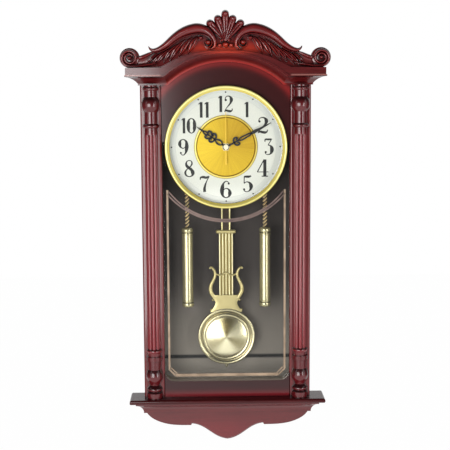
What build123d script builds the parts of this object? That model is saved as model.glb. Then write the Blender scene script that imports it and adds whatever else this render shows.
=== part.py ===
from build123d import *
import os
from math import acos, cos, degrees, exp, radians, sin, sqrt, tan

# Pendulum wall clock in a carved case, millimetres, +Z up.
# The origin is the hanging keyhole on the back plane, and the dial looks along -Y.
# Depths are measured forwards from the wall, heights from the dial centre unless named otherwise.

# Case
dial_drop = 85.0  # hanging keyhole down to the dial centre
window_width = 190.0
stile_width = 31.5  # stile beside the window
window_drop = 356.5  # dial centre down to the window's lower edge
window_corner = 14.0
corner_lip = 2.0  # rail's corners end below the spring of their curve
shelf_drop = 381.5  # dial centre down to the top of the base shelf
box_rise = 112.0  # dial centre up to the top of the box
box_depth = 56.0  # wall to the back of the face frame
box_inset = 2.0  # box sides inside the edges of the face frame
board_thickness = 9.0
back_thickness = 4.0
frame_thickness = 10.0
frame_edge = 3.0  # rounded front edges of the stiles
panel_foot = 8.0  # arch panel's lower ends above the dial centre
access_width = 80.0
access_height = 112.0
access_drop = 18.0  # middle of the rear access opening below the dial centre
access_corner = 6.0

# Hanging plate and case screws
keyhole_radius = 5.0
keyhole_slot = 5.0
keyhole_rise = 13.0
keyhole_room = 13.0  # hollow behind the keyhole for the hook's head
plate_width = 44.0
plate_drop = 12.0  # plate below the keyhole
plate_thickness = 1.5
plate_screw_reach = 15.0
screw_radius = 1.6
screw_head_radius = 3.4
screw_length = 16.0
back_screw_rows = 3
back_screw_margin = 40.0

# Window glass
glass_thickness = 2.0
glass_lap = 7.0  # glass behind the frame
glass_cutout = 80.0  # round cut-out that clears the movement
clip_height = 12.0
clip_tongue = 4.0
clip_thickness = 1.2
clip_gap = 0.3
clip_rows = 3
clip_margin = 40.0

# Columns
column_offset = 15.75  # column axis inside the case's edge
shaft_radius = 10.0
reed_radius = 2.9
reed_count = 8
capital_radius = 14.0
torus_radius = 12.4
vase_radius = 12.0
shaft_rise = 19.0  # top of the reeded shaft
shaft_drop = 305.0  # bottom of the reeded shaft
neck_radius = 9.7
foot_neck_radius = 7.4
bead_height = 6.0
bead_bulge = 1.8
head_height = 72.5  # turned head of a column, for which its parts below are sized
base_height = 76.5  # turned foot of a column, likewise
capital_ring_drop = 2.0  # bead below the underside of the cornice
bulb_rise = 44.4  # widest part of the capital above the shaft
bulb_half = 11.0
torus_rise = 9.6
torus_height = 6.6
drum_height = 14.0
vase_height = 9.0
foot_height = 20.0

# Cornice
cornice_rise = 91.5  # underside of the cornice ends
cornice_reach = 21.0
cove_height = 12.0
fascia_height = 13.0
cove_lip = 2.5
cornice_return = 26.0  # side return behind the face of the frame
arch_inset = 9.8  # arch's foot inside the stile's edge
fascia_bead = 2.5  # bead along the foot of the fascia
fascia_step = 1.2  # fascia behind its bead
spandrel_bend = 0.65  # bend of the brow over the arch, as a share of its width and rise
spandrel_crown = 1.0
spandrel_joint = 0.1  # glue line between the arch and the board over it
cove_sweep = 26.0  # radius of the hollow

# Crest
crest_thickness = 16.0
crest_edge = 2.0
shoulder_top = 180.0
shoulder_half = 36.0
shoulder_swell = 1.5  # shoulder's middle above a straight slope
shoulder_roll = 13.0  # height of the raised roll along the shoulder
flick_half = 112.0
flick_rise = 147.5
flick_hollow = 9.0
volute_reach = 14.0  # volute's centre beyond the case's edge
volute_radius = 15.0
volute_relief = 4.0
volute_turns = 2.25
volute_band = 0.3  # width of the volute's band as a share of its radius
volute_eye = 0.3  # eye of the volute as a share of its radius
volute_decay = 1.45  # how fast the volute winds in
volute_steps = 8  # points in each turn of a volute
scroll_half = 25.4
scroll_rise = 154.6
scroll_radius = 11.0
palmette_rise = 155.0
palmette_lobe = 5.7  # radius of a lobe's round tip
palmette_root = 2.0  # radius of a lobe's root
palmette_relief = 5.0
palmette_fall = 0.04  # relief lost for each degree of a lobe's tilt
palmette_lobes = ((-40.7, 40.0), (40.7, 40.0), (-18.7, 39.9), (18.7, 39.9), (0, 44.0))  # tilt and length

# Base
shelf_overhang = 22.0  # shelf beyond the case's edge
shelf_thickness = 7.0
shelf_reach = 18.0  # shelf in front of the frame
shelf_return = 26.0  # shelf behind the face of the frame
shelf_nose = 3.0
base_cove_height = 17.0
base_cove_top = 13.0  # cove's reach under the shelf
base_cove_foot = 1.5
base_sweep = 16.0  # radius of the hollow
apron_thickness = 16.0
apron_height = 43.5
apron_shoulder = 20.5
skirt_inset = 22.5  # bend of the apron's skirt
skirt_drop = 14.5
apron_notch_half = 56.0
apron_notch = 2.0
apron_inset = 3.0
apron_edge = 2.0

# Dial
bezel_radius = 91.0
bezel_width = 7.0
bezel_height = 10.0
bezel_wall = 0.8
pan_wall = 2.0
pan_floor = 1.5
pan_depth = 9.5  # face of the frame back to the rear of the pan
flange_inset = 1.0  # pan's flange and the lens inside the bezel's edge
flange_width = 3.5  # pan's flange beyond its wall
pan_flange_thickness = 2.0
pan_clearance = 0.5
lens_thickness = 2.0
dial_thickness = 1.0
dial_clearance = 0.4
medallion_radius = 47.5
medallion_thickness = 1.0
medallion_rim = 3.0
medallion_groove = 1.5
nut_across_flats = 11.0
nut_thickness = 2.0

# Hands
hand_thickness = 0.6
hand_gap = 0.8
hour_length = 53.0
minute_length = 77.0
second_length = 52.0
second_tail = 26.0
hour_angle = 305.0
minute_angle = 62.0
second_angle = 0.0
hub_radius = 5.0
minute_hub_radius = 4.5
cap_radius = 3.8
cap_crown_radius = 3.0
cap_slope = 30.0
filigree = 1.3  # width of the thin strokes
needle = 0.9
spear_half = 2.4
hour_stem_rise = 16.0  # hub up to where the stem widens
hour_spear_rise = 33.0
hour_loop_rise = 10.6
hour_loop_half = 4.2
hour_loop_length = 5.8
hour_loop_tilt = 12.0
hour_scroll_rise = 25.0
hour_scroll_across = 5.2
hour_scroll_half = 3.8
hour_scroll_length = 6.9
hour_scroll_tilt = 24.0
minute_stem_rise = 15.4
minute_bar_foot = 23.0
minute_bar_top = 40.0
minute_taper_rise = 47.7
minute_loop_rise = 17.0
minute_loop_half = 3.8
minute_loop_length = 3.9
minute_loop_tilt = 30.0

# Movement
movement_half = 29.0
movement_rise = 30.0
movement_drop = 64.0
movement_depth = 18.5
movement_wall = 1.5
cover_thickness = 2.0
boss_radius = 2.6
boss_inset = 4.5
movement_screw_radius = 1.0
movement_screw_length = 9.0
movement_screw_head = 2.0
movement_screw_head_height = 1.0
bush_radius = 4.0
pipe_radius = 2.7
tube_radius = 1.8
second_radius = 0.8
pivot_radius = 0.6
pivot_hole = 1.0  # depth of the holes that hold the pivots
pivot_reach = 0.7  # pivots into those holes
knob_shaft_radius = 1.2
knob_radius = 6.0
knob_height = 5.0
knob_grips = 12
grip_radius = 0.75
running_fit = 0.05
battery_radius = 7.1
battery_length = 50.0
battery_drop = 33.0
battery_fit = 0.5
battery_end_room = 1.0
battery_button = 1.5
battery_button_radius = 2.7
contact_thickness = 0.5
contact_half = 3.5
coil_radius = 6.0
coil_length = 10.0
bobbin_flange = 1.0
bobbin_groove = 1.0
coil_drop = 52.0
motor_radius = 9.0
motor_thickness = 5.5
motor_bore = 2.7  # depth of the bore for the second arbor
arbor_reach = 2.0  # second arbor into the motor
circuit_width = 40.0
circuit_height = 8.0
circuit_thickness = 1.2

# Wheel train
motion_module = 0.5
centre_module = 0.32
cannon_teeth = 12
motion_teeth = 36
motion_pinion_teeth = 10
hour_teeth = 40
centre_teeth = 64
third_pinion_teeth = 8
third_teeth = 60
second_pinion_teeth = 8
addendum = 0.85
dedendum = 1.1
tooth_root_share = 0.26
tooth_tip_share = 0.08
wheel_thickness = 1.2
pinion_thickness = 1.8
level_gap = 0.6  # between one wheel and the next along the arbors
third_direction = 135.0
motion_direction = -45.0

# Pendulum
pivot_drop = 46.0  # swing axis below the dial centre
pivot_pin_radius = 1.5
pendulum_depth = 24.0  # wall to the middle of the pendulum
hanger_width = 8.0
hanger_thickness = 2.0
hanger_drop = 92.0
hanger_foot = 8.0
magnet_radius = 4.0
magnet_drop = 12.0  # magnet below the swing axis
magnet_thickness = 3.0
rod_radius = 1.35
rod_spacing = 11.8
crossbar_drop = 132.0
crossbar_width = 31.0
crossbar_height = 5.5
grid_rods = 5
grid_spacing = 4.85
grid_radius = 1.3
grid_plate = 1.5
lyre_thickness = 2.0
lyre_top_drop = 187.0
lyre_tip_half = 24.0
lyre_neck_half = 16.2
lyre_belly_half = 26.5
lyre_belly_drop = 221.0
lyre_band = 3.6
saddle_drop = 235.0
saddle_half = 25.0
saddle_waist = 16.8
bob_drop = 297.0
bob_radius = 44.5
bob_thickness = 4.0
bob_rim = 3.0
bob_recess = 1.0
dish_radius = 37.0
dish_height = 8.0
dish_shoulder = 7.0  # height of the dome half-way out
dish_step = 4.5
finial_radius = 2.4
finial_length = 5.5

# Weights
weight_half = 59.2
weight_setback = 14.0  # middle of the weights behind the back of the frame
hook_drop = 46.0
hook_radius = 0.8
hook_lip = 4.0
hook_foot_radius = 3.2
chain_links = 12
chain_drop = 72.8
chain_wire = 1.0
chain_width = 4.6
chain_play = 0.1
weight_tube_radius = 7.1
weight_tube_length = 116.0
weight_tube_wall = 0.8
weight_cap_radius = 7.9
cap_height = 6.5
cap_socket = 3.0
cap_bevel = 1.0
bail_height = 6.0
bail_width = 7.0

# Heights and depths worked out from the sizes above
dial_z = -dial_drop
window_z = dial_z - window_drop
shelf_z = dial_z - shelf_drop
rail_top_z = window_z + window_corner - corner_lip
box_top_z = dial_z + box_rise
access_z = dial_z - access_drop
case_width = window_width + 2 * stile_width  # over the face frame
half_case = case_width / 2
half_box = half_case - box_inset
half_inside = half_box - board_thickness
half_window = window_width / 2
half_cornice = half_case + cornice_reach
face = box_depth + frame_thickness
column_x = half_case - column_offset
shelf_half = half_case + shelf_overhang
volute_half = half_case + volute_reach
arch_radius = sqrt((half_window - arch_inset) ** 2 + cornice_rise**2)
arch_top = arch_radius + cove_height + fascia_bead
bead_top = cornice_rise + cove_height + fascia_bead
cornice_top = cornice_rise + cove_height + fascia_height
arch_half_angle = degrees(acos(cornice_rise / arch_radius))
mitre_half_angle = arch_half_angle / 2
head_scale = (cornice_rise - shaft_rise) / head_height
foot_scale = (shelf_drop - shaft_drop) / base_height
ring_top = cornice_rise - head_scale * capital_ring_drop
ring_foot = ring_top - head_scale * bead_height
bulb_level = shaft_rise + head_scale * bulb_rise
bulb_reach = head_scale * bulb_half
torus_foot = shaft_rise + head_scale * torus_rise
torus_top = torus_foot + head_scale * torus_height
base_bead = foot_scale * bead_height
drum_foot = -shaft_drop - 3 * base_bead - foot_scale * drum_height
foot_top = -shelf_drop + foot_scale * foot_height
vase_level = foot_top + foot_scale * vase_height
weight_depth = box_depth - weight_setback
pan_flange = bezel_radius - flange_inset
pan_radius = pan_flange - flange_width
pan_back = face - pan_depth
pan_front = face + pan_flange_thickness
dial_back = pan_back + pan_floor
dial_front = dial_back + dial_thickness
medallion_front = dial_front + medallion_thickness
nut_front = medallion_front + nut_thickness
hour_level = nut_front + hand_gap
minute_level = hour_level + hand_thickness + hand_gap
second_level = minute_level + hand_thickness + hand_gap
movement_back = pan_back - movement_depth
movement_floor = pan_back - movement_wall  # inner face of the housing's front wall
cover_back = movement_back - cover_thickness

# Wheel train positions in the dial's plane
motion_distance = motion_module * (cannon_teeth + motion_teeth) / 2
hour_module = 2 * motion_distance / (motion_pinion_teeth + hour_teeth)
third_distance = centre_module * (centre_teeth + third_pinion_teeth) / 2
third_module = 2 * third_distance / (third_teeth + second_pinion_teeth)
motion_x = motion_distance * cos(radians(motion_direction))
motion_up = motion_distance * sin(radians(motion_direction))
third_x = third_distance * cos(radians(third_direction))
third_up = third_distance * sin(radians(third_direction))
third_mesh = third_direction + 180
motion_mesh = motion_direction + 180
knob_x = 2 * motion_x
knob_up = 2 * motion_up
hour_wheel_level = movement_floor - level_gap - wheel_thickness
cannon_level = hour_wheel_level - level_gap - pinion_thickness
centre_level = cannon_level - level_gap - wheel_thickness
third_level = centre_level - 2 * level_gap - pinion_thickness
motor_front = movement_back + motor_thickness
pinion_overhang = (pinion_thickness - wheel_thickness) / 2
seated = (Align.CENTER, Align.CENTER, Align.MIN)
hung = (Align.CENTER, Align.CENTER, Align.MAX)


def front_plane(depth, height=0.0, across=0.0, turn=0.0):
    """Plane that faces the viewer; turn is clockwise from twelve o'clock, in degrees."""
    right = (cos(radians(turn)), 0, -sin(radians(turn)))
    return Plane(origin=(across, -depth, height), x_dir=right, z_dir=(0, -1, 0))


def side_plane(across, depth):
    """Upright plane that faces +X, for pieces seen edge on from the front."""
    return Plane(origin=(across, -depth, 0), x_dir=(0, 1, 0), z_dir=(1, 0, 0))


def depth_axis(height, across=0.0):
    """Axis that runs from the front to the back."""
    return Axis((across, 0, height), (0, 1, 0))


def turning_plane(height, across=0.0):
    """Level plane through a front-to-back axis, for (radius, -depth) profiles."""
    return Plane(origin=(across, 0, height), x_dir=(1, 0, 0), z_dir=(0, 0, 1))


def screw_planes(points):
    """Planes on the back face at (across, height) points, each facing the wall."""
    return [Plane(origin=(x, 0, z), x_dir=(-1, 0, 0), z_dir=(0, 1, 0)) for x, z in points]


def polar(radius, angle):
    """Point at a radius and an angle in degrees."""
    return (radius * cos(radians(angle)), radius * sin(radians(angle)))


def gear_outline(teeth, module, toward, gap=False):
    """Corner points of a straight-flanked gear with a tooth, or a gap, at one direction."""
    pitch = 360 / teeth
    start = toward + (pitch / 2 if gap else 0)
    root = module * (teeth / 2 - dedendum)
    tip = module * (teeth / 2 + addendum)
    rising = ((root, -tooth_root_share), (tip, -tooth_tip_share))
    falling = ((tip, tooth_tip_share), (root, tooth_root_share))
    return [polar(r, start + (k + share) * pitch) for k in range(teeth) for r, share in rising + falling]


def finish(builder, name):
    """Label a finished piece and write it."""
    builder.part.label = name
    export_step(builder.part, f"parts/{name}.step")


os.makedirs("parts", exist_ok=True)

# Case screws: three down each side of the back board, two through the hanging plate
screw_top_z = box_top_z - back_screw_margin
screw_bottom_z = shelf_z + back_screw_margin
screw_pitch = (screw_top_z - screw_bottom_z) / (back_screw_rows - 1)
side_screw_x = half_box - board_thickness / 2
side_screw_heights = [screw_bottom_z + row * screw_pitch for row in range(back_screw_rows)]
side_screws = [(side * side_screw_x, z) for side in (-1, 1) for z in side_screw_heights]
plate_screw_z = box_top_z - board_thickness / 2
plate_screws = [(side * plate_screw_reach, plate_screw_z) for side in (-1, 1)]
plate_height = box_top_z + plate_drop
plate_mid_z = (box_top_z - plate_drop) / 2

with BuildPart() as back_board:
    with BuildSketch(front_plane(0)):
        with Locations((0, (box_top_z + shelf_z) / 2)):
            Rectangle(2 * half_box, box_top_z - shelf_z)
        with Locations((0, access_z)):
            RectangleRounded(access_width, access_height, access_corner, mode=Mode.SUBTRACT)
    extrude(amount=back_thickness)
    with BuildSketch(front_plane(0)):
        with Locations((0, plate_mid_z)):
            Rectangle(plate_width, plate_height)
    extrude(amount=plate_thickness, mode=Mode.SUBTRACT)
    with BuildSketch(front_plane(0)):
        with Locations((0, keyhole_rise / 2)):
            SlotCenterToCenter(keyhole_rise, keyhole_room, rotation=90)
    extrude(amount=back_thickness, mode=Mode.SUBTRACT)
    with Locations(*screw_planes(side_screws + plate_screws)):
        CounterSinkHole(screw_radius, screw_head_radius, depth=back_thickness, counter_sink_angle=90)
finish(back_board, "back_board")

with BuildPart() as hanger_plate:
    with BuildSketch(front_plane(0)):
        with Locations((0, plate_mid_z)):
            Rectangle(plate_width, plate_height)
        Circle(keyhole_radius, mode=Mode.SUBTRACT)
        with Locations((0, keyhole_rise / 2)):
            SlotCenterToCenter(keyhole_rise, keyhole_slot, rotation=90, mode=Mode.SUBTRACT)
    extrude(amount=plate_thickness)
    with Locations(*screw_planes(plate_screws)):
        CounterSinkHole(screw_radius, screw_head_radius, depth=plate_thickness, counter_sink_angle=90)
finish(hanger_plate, "hanger_plate")

with BuildPart() as case_screws:
    with Locations(*[front_plane(0, z, x) for x, z in side_screws + plate_screws]):
        Cone(screw_head_radius, screw_radius, screw_head_radius - screw_radius, align=seated)
        Cylinder(screw_radius, screw_length, align=seated)
finish(case_screws, "case_screws")

# Box boards behind the face frame
for side, name in ((-1, "left"), (1, "right")):
    with BuildPart() as case_side:
        with BuildSketch(Plane.XY.offset(shelf_z)):
            with Locations((side * side_screw_x, -(box_depth + back_thickness) / 2)):
                Rectangle(board_thickness, box_depth - back_thickness)
        extrude(amount=box_top_z - shelf_z)
        with Locations(*screw_planes([point for point in side_screws if point[0] * side > 0])):
            Hole(screw_radius, depth=screw_length)
    finish(case_side, f"case_side_{name}")

with BuildPart() as case_top_board:
    with BuildSketch(Plane.XY.offset(box_top_z - board_thickness)):
        with Locations((0, -(box_depth + back_thickness) / 2)):
            Rectangle(2 * half_inside, box_depth - back_thickness)
    extrude(amount=board_thickness)
    with Locations(*screw_planes(plate_screws)):
        Hole(screw_radius, depth=screw_length)
finish(case_top_board, "case_top_board")

with BuildPart() as case_floor_board:
    with BuildSketch(Plane.XY.offset(shelf_z)):
        with Locations((0, -(box_depth + back_thickness) / 2)):
            Rectangle(2 * half_inside, box_depth - back_thickness)
    extrude(amount=board_thickness)
finish(case_floor_board, "case_floor_board")

# Face frame: two stiles, the rail under the window and the panel round the dial
for side, name in ((-1, "left"), (1, "right")):
    with BuildPart() as stile:
        with BuildSketch(Plane.XY.offset(shelf_z)):
            with Locations((side * (half_case + half_window) / 2, -(box_depth + face) / 2)):
                Rectangle(half_case - half_window, frame_thickness)
        extrude(amount=box_top_z - shelf_z)
        fillet(stile.edges().filter_by(Axis.Z).group_by(Axis.Y)[0], radius=frame_edge)
        with BuildSketch(front_plane(box_depth, dial_z)):
            Circle(pan_radius + pan_clearance)  # a dial wider than the window reaches the stiles
        extrude(amount=frame_thickness, mode=Mode.SUBTRACT)
    finish(stile, f"stile_{name}")

with BuildPart() as bottom_rail:
    with BuildSketch(front_plane(box_depth)):
        with Locations((0, (rail_top_z + shelf_z) / 2)):
            Rectangle(window_width, rail_top_z - shelf_z)
        with Locations((0, window_z + window_corner)):
            SlotOverall(window_width, 2 * window_corner, mode=Mode.SUBTRACT)
    extrude(amount=frame_thickness)
finish(bottom_rail, "bottom_rail")

with BuildPart() as arch_panel:
    with BuildSketch(front_plane(box_depth, dial_z)):
        Circle(arch_top)
        with Locations((0, panel_foot + arch_top / 2)):
            Rectangle(window_width, arch_top, mode=Mode.INTERSECT)
        Circle(pan_radius + pan_clearance, mode=Mode.SUBTRACT)
    extrude(amount=frame_thickness)
finish(arch_panel, "arch_panel")

# Window glass and its clips
with BuildPart() as glass_pane:
    with BuildSketch(front_plane(box_depth - glass_thickness, dial_z)):
        with Locations((0, (panel_foot - window_drop) / 2)):
            Rectangle(window_width + 2 * glass_lap, window_drop + panel_foot + 2 * glass_lap)
        Circle(glass_cutout, mode=Mode.SUBTRACT)
        with Locations((0, (panel_foot + glass_lap) / 2)):
            Rectangle(2 * glass_cutout, panel_foot + glass_lap, mode=Mode.SUBTRACT)
    extrude(amount=glass_thickness)
finish(glass_pane, "glass_pane")

clip_top_z = dial_z - glass_cutout - clip_margin
clip_bottom_z = window_z + clip_margin
clip_pitch = (clip_top_z - clip_bottom_z) / (clip_rows - 1)
glass_half = half_window + glass_lap

with BuildPart() as glass_clips:
    for side in (-1, 1):
        for row in range(clip_rows):
            with BuildSketch(Plane.XY.offset(clip_bottom_z + row * clip_pitch)):
                with BuildLine():
                    Polyline(
                        (side * (glass_half + clip_gap), -box_depth),
                        (side * (half_inside - clip_gap), -box_depth),
                        (side * (half_inside - clip_gap), -box_depth + glass_thickness + clip_thickness),
                        (side * (glass_half - clip_tongue), -box_depth + glass_thickness + clip_thickness),
                        (side * (glass_half - clip_tongue), -box_depth + glass_thickness),
                        (side * (glass_half + clip_gap), -box_depth + glass_thickness),
                        close=True,
                    )
                make_face()
            extrude(amount=clip_height)
finish(glass_clips, "glass_clips")

# Half-round columns: turned capital, reeded shaft and turned base on the stiles
for side, name in ((-1, "left"), (1, "right")):
    axis = Axis((side * column_x, -face, 0), (0, 0, -1))
    with BuildPart() as column:
        with BuildSketch(front_plane(face, dial_z, side * column_x)):
            with BuildLine():
                Polyline(
                    (shaft_radius, shaft_rise),
                    (0, shaft_rise),
                    (0, cornice_rise),
                    (shaft_radius, cornice_rise),
                    (shaft_radius, ring_top),
                )
                capital_ring = ThreePointArc(
                    (shaft_radius, ring_top),
                    (shaft_radius + bead_bulge, (ring_top + ring_foot) / 2),
                    (shaft_radius, ring_foot),
                )
                collar = Polyline(
                    capital_ring @ 1,
                    (neck_radius, ring_foot),
                    (neck_radius, bulb_level + bulb_reach),
                )
                bulb = ThreePointArc(
                    collar @ 1,
                    (capital_radius, bulb_level),
                    (neck_radius, bulb_level - bulb_reach),
                )
                neck = Line(bulb @ 1, (neck_radius, torus_top))
                torus = ThreePointArc(
                    neck @ 1,
                    (torus_radius, (torus_top + torus_foot) / 2),
                    (neck_radius, torus_foot),
                )
                Line(torus @ 1, (shaft_radius, shaft_rise))
            make_face()
        revolve(axis=axis, revolution_arc=180)
        with BuildSketch(Plane.XY.offset(dial_z - shaft_drop)):
            with Locations((side * column_x, -face)):
                Circle(shaft_radius - reed_radius)
                with PolarLocations(shaft_radius - reed_radius, reed_count):
                    Circle(reed_radius)
            with Locations((side * column_x, -face + shaft_radius / 2)):
                Rectangle(4 * shaft_radius, shaft_radius, mode=Mode.SUBTRACT)
        extrude(amount=shaft_rise + shaft_drop)
        with BuildSketch(front_plane(face, dial_z, side * column_x)):
            with BuildLine():
                base_ring = ThreePointArc(
                    (shaft_radius, -shaft_drop),
                    (shaft_radius + bead_bulge, -shaft_drop - base_bead / 2),
                    (shaft_radius, -shaft_drop - base_bead),
                )
                Polyline(
                    base_ring @ 1,
                    (neck_radius, -shaft_drop - 2 * base_bead),
                    (vase_radius, -shaft_drop - 2 * base_bead),
                    (vase_radius, -shaft_drop - 3 * base_bead),
                    (shaft_radius, -shaft_drop - 3 * base_bead),
                    (shaft_radius, drum_foot),
                )
                vase = Spline(
                    (shaft_radius, drum_foot),
                    (vase_radius, vase_level),
                    (foot_neck_radius, foot_top),
                    tangents=((0.6, -1), (-0.3, -1)),
                )
                foot_ring = ThreePointArc(
                    (shaft_radius, foot_top - base_bead / 2),
                    (shaft_radius + bead_bulge, foot_top - base_bead),
                    (shaft_radius, foot_top - 3 * base_bead / 2),
                )
                Line(vase @ 1, foot_ring @ 0)
                Polyline(
                    foot_ring @ 1,
                    (vase_radius, foot_top - 2 * base_bead),
                    (vase_radius, -shelf_drop),
                    (0, -shelf_drop),
                    (0, -shaft_drop),
                    (shaft_radius, -shaft_drop),
                )
            make_face()
        revolve(axis=axis, revolution_arc=180)
    finish(column, f"column_{name}")

# Cornice: mitred ends with side returns, and an arch concentric with the dial
mitre_foot = (arch_radius * sin(radians(arch_half_angle)), cornice_rise)
mitre_run = tan(radians(mitre_half_angle))

for side, name in ((-1, "left"), (1, "right")):
    with BuildPart() as cornice_end:
        with BuildSketch(front_plane(face - cornice_return, dial_z)):
            with BuildLine():
                side_lip = Polyline(
                    (side * mitre_foot[0], cornice_rise),
                    (side * (half_case + cove_lip), cornice_rise),
                    (side * (half_case + cove_lip), cornice_rise + cove_lip),
                )
                side_cove = RadiusArc(
                    side_lip @ 1,
                    (side * (half_case + cornice_reach), cornice_rise + cove_height),
                    side * cove_sweep,
                )
                Polyline(
                    side_cove @ 1,
                    (side * (half_case + cornice_reach), bead_top),
                    (side * (half_case + cornice_reach - fascia_step), bead_top),
                    (side * (half_case + cornice_reach - fascia_step), cornice_top),
                    (side * (mitre_foot[0] + mitre_run * (cornice_top - cornice_rise)), cornice_top),
                    (side * mitre_foot[0], cornice_rise),
                )
            make_face()
        extrude(amount=cornice_return + cornice_reach)
        with BuildSketch(Plane.YZ.offset(-half_cornice)):
            with BuildLine():
                front_lip = Polyline(
                    (-face + cornice_return, dial_z + cornice_rise),
                    (-face - cove_lip, dial_z + cornice_rise),
                    (-face - cove_lip, dial_z + cornice_rise + cove_lip),
                )
                front_cove = RadiusArc(
                    front_lip @ 1,
                    (-face - cornice_reach, dial_z + cornice_rise + cove_height),
                    -cove_sweep,
                )
                Polyline(
                    front_cove @ 1,
                    (-face - cornice_reach, dial_z + bead_top),
                    (-face - cornice_reach + fascia_step, dial_z + bead_top),
                    (-face - cornice_reach + fascia_step, dial_z + cornice_top),
                    (-face + cornice_return, dial_z + cornice_top),
                    (-face + cornice_return, dial_z + cornice_rise),
                )
            make_face()
        extrude(amount=2 * half_cornice, mode=Mode.INTERSECT)
        with BuildSketch(front_plane(face - cornice_return, dial_z)):
            with Locations((0, cornice_rise)):
                Rectangle(case_width, 2 * (cornice_top - cornice_rise))
        extrude(amount=cornice_return, mode=Mode.SUBTRACT)
    finish(cornice_end, f"cornice_end_{name}")

foot_dot = mitre_foot[0] * sin(radians(mitre_half_angle)) + cornice_rise * cos(radians(mitre_half_angle))
brow_foot = arch_top + spandrel_joint
foot_run = -foot_dot + sqrt(foot_dot**2 + brow_foot**2 - arch_radius**2)
brow_corner = (
    mitre_foot[0] + foot_run * sin(radians(mitre_half_angle)),
    cornice_rise + foot_run * cos(radians(mitre_half_angle)),
)
crest_shelf = (mitre_foot[0] + mitre_run * (cornice_top - cornice_rise), cornice_top)
spandrel_top = arch_top + spandrel_crown
brow_bend = (
    spandrel_bend * crest_shelf[0],
    cornice_top + spandrel_bend * (spandrel_top - cornice_top),
)

with BuildPart() as cornice_arch:
    with BuildSketch(turning_plane(dial_z)):
        with BuildLine():
            arch_lip = Polyline(
                (arch_top, -face),
                (arch_radius, -face),
                (arch_radius, -face - cove_lip),
                (arch_radius + cove_lip, -face - cove_lip),
            )
            arch_cove = RadiusArc(
                arch_lip @ 1,
                (arch_radius + cove_height, -face - cornice_reach),
                cove_sweep,
            )
            Polyline(arch_cove @ 1, (arch_top, -face - cornice_reach), (arch_top, -face))
        make_face()
    revolve(axis=depth_axis(dial_z))
    for side in (-1, 1):
        mitre_plane = Plane(
            origin=(side * mitre_foot[0], 0, dial_z + cornice_rise),
            x_dir=(0, -1, 0),
            z_dir=(-side * cos(radians(mitre_half_angle)), 0, sin(radians(mitre_half_angle))),
        )
        split(bisect_by=mitre_plane, keep=Keep.TOP)
    with BuildSketch(front_plane(box_depth, dial_z)):
        with BuildLine():
            Line((0, brow_foot), (0, spandrel_top))
            Spline(
                (0, spandrel_top),
                brow_bend,
                crest_shelf,
                tangents=((1, 0), (1, -0.5)),
            )
            Line(crest_shelf, brow_corner)
            ThreePointArc(brow_corner, polar(brow_foot, 90 - arch_half_angle / 2), (0, brow_foot))
        make_face()
        mirror(about=Plane.YZ)
    extrude(amount=frame_thickness + cornice_reach - fascia_step)
finish(cornice_arch, "cornice_arch")

# Crest: a moulded board with end volutes, inner scrolls and a palmette
volute_rise = cornice_top + volute_radius
shoulder_mid = ((shoulder_half + flick_half) / 2, (shoulder_top + flick_rise) / 2 + shoulder_swell)
flick_root = (flick_half - flick_hollow / 4, flick_rise - flick_hollow)


def spiral(radius, turns, band, start, hand):
    """Outer and inner edge points of a volute band that winds in towards its eye."""
    steps = int(volute_steps * turns)
    decay = [exp(-volute_decay * step / steps) for step in range(steps + 1)]
    angles = [start + hand * 360 * turns * step / steps for step in range(steps + 1)]
    outer = [polar(radius * share, angle) for share, angle in zip(decay, angles)]
    inner = [polar(radius * share * (1 - band), angle) for share, angle in zip(decay, angles)]
    return outer, inner


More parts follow.
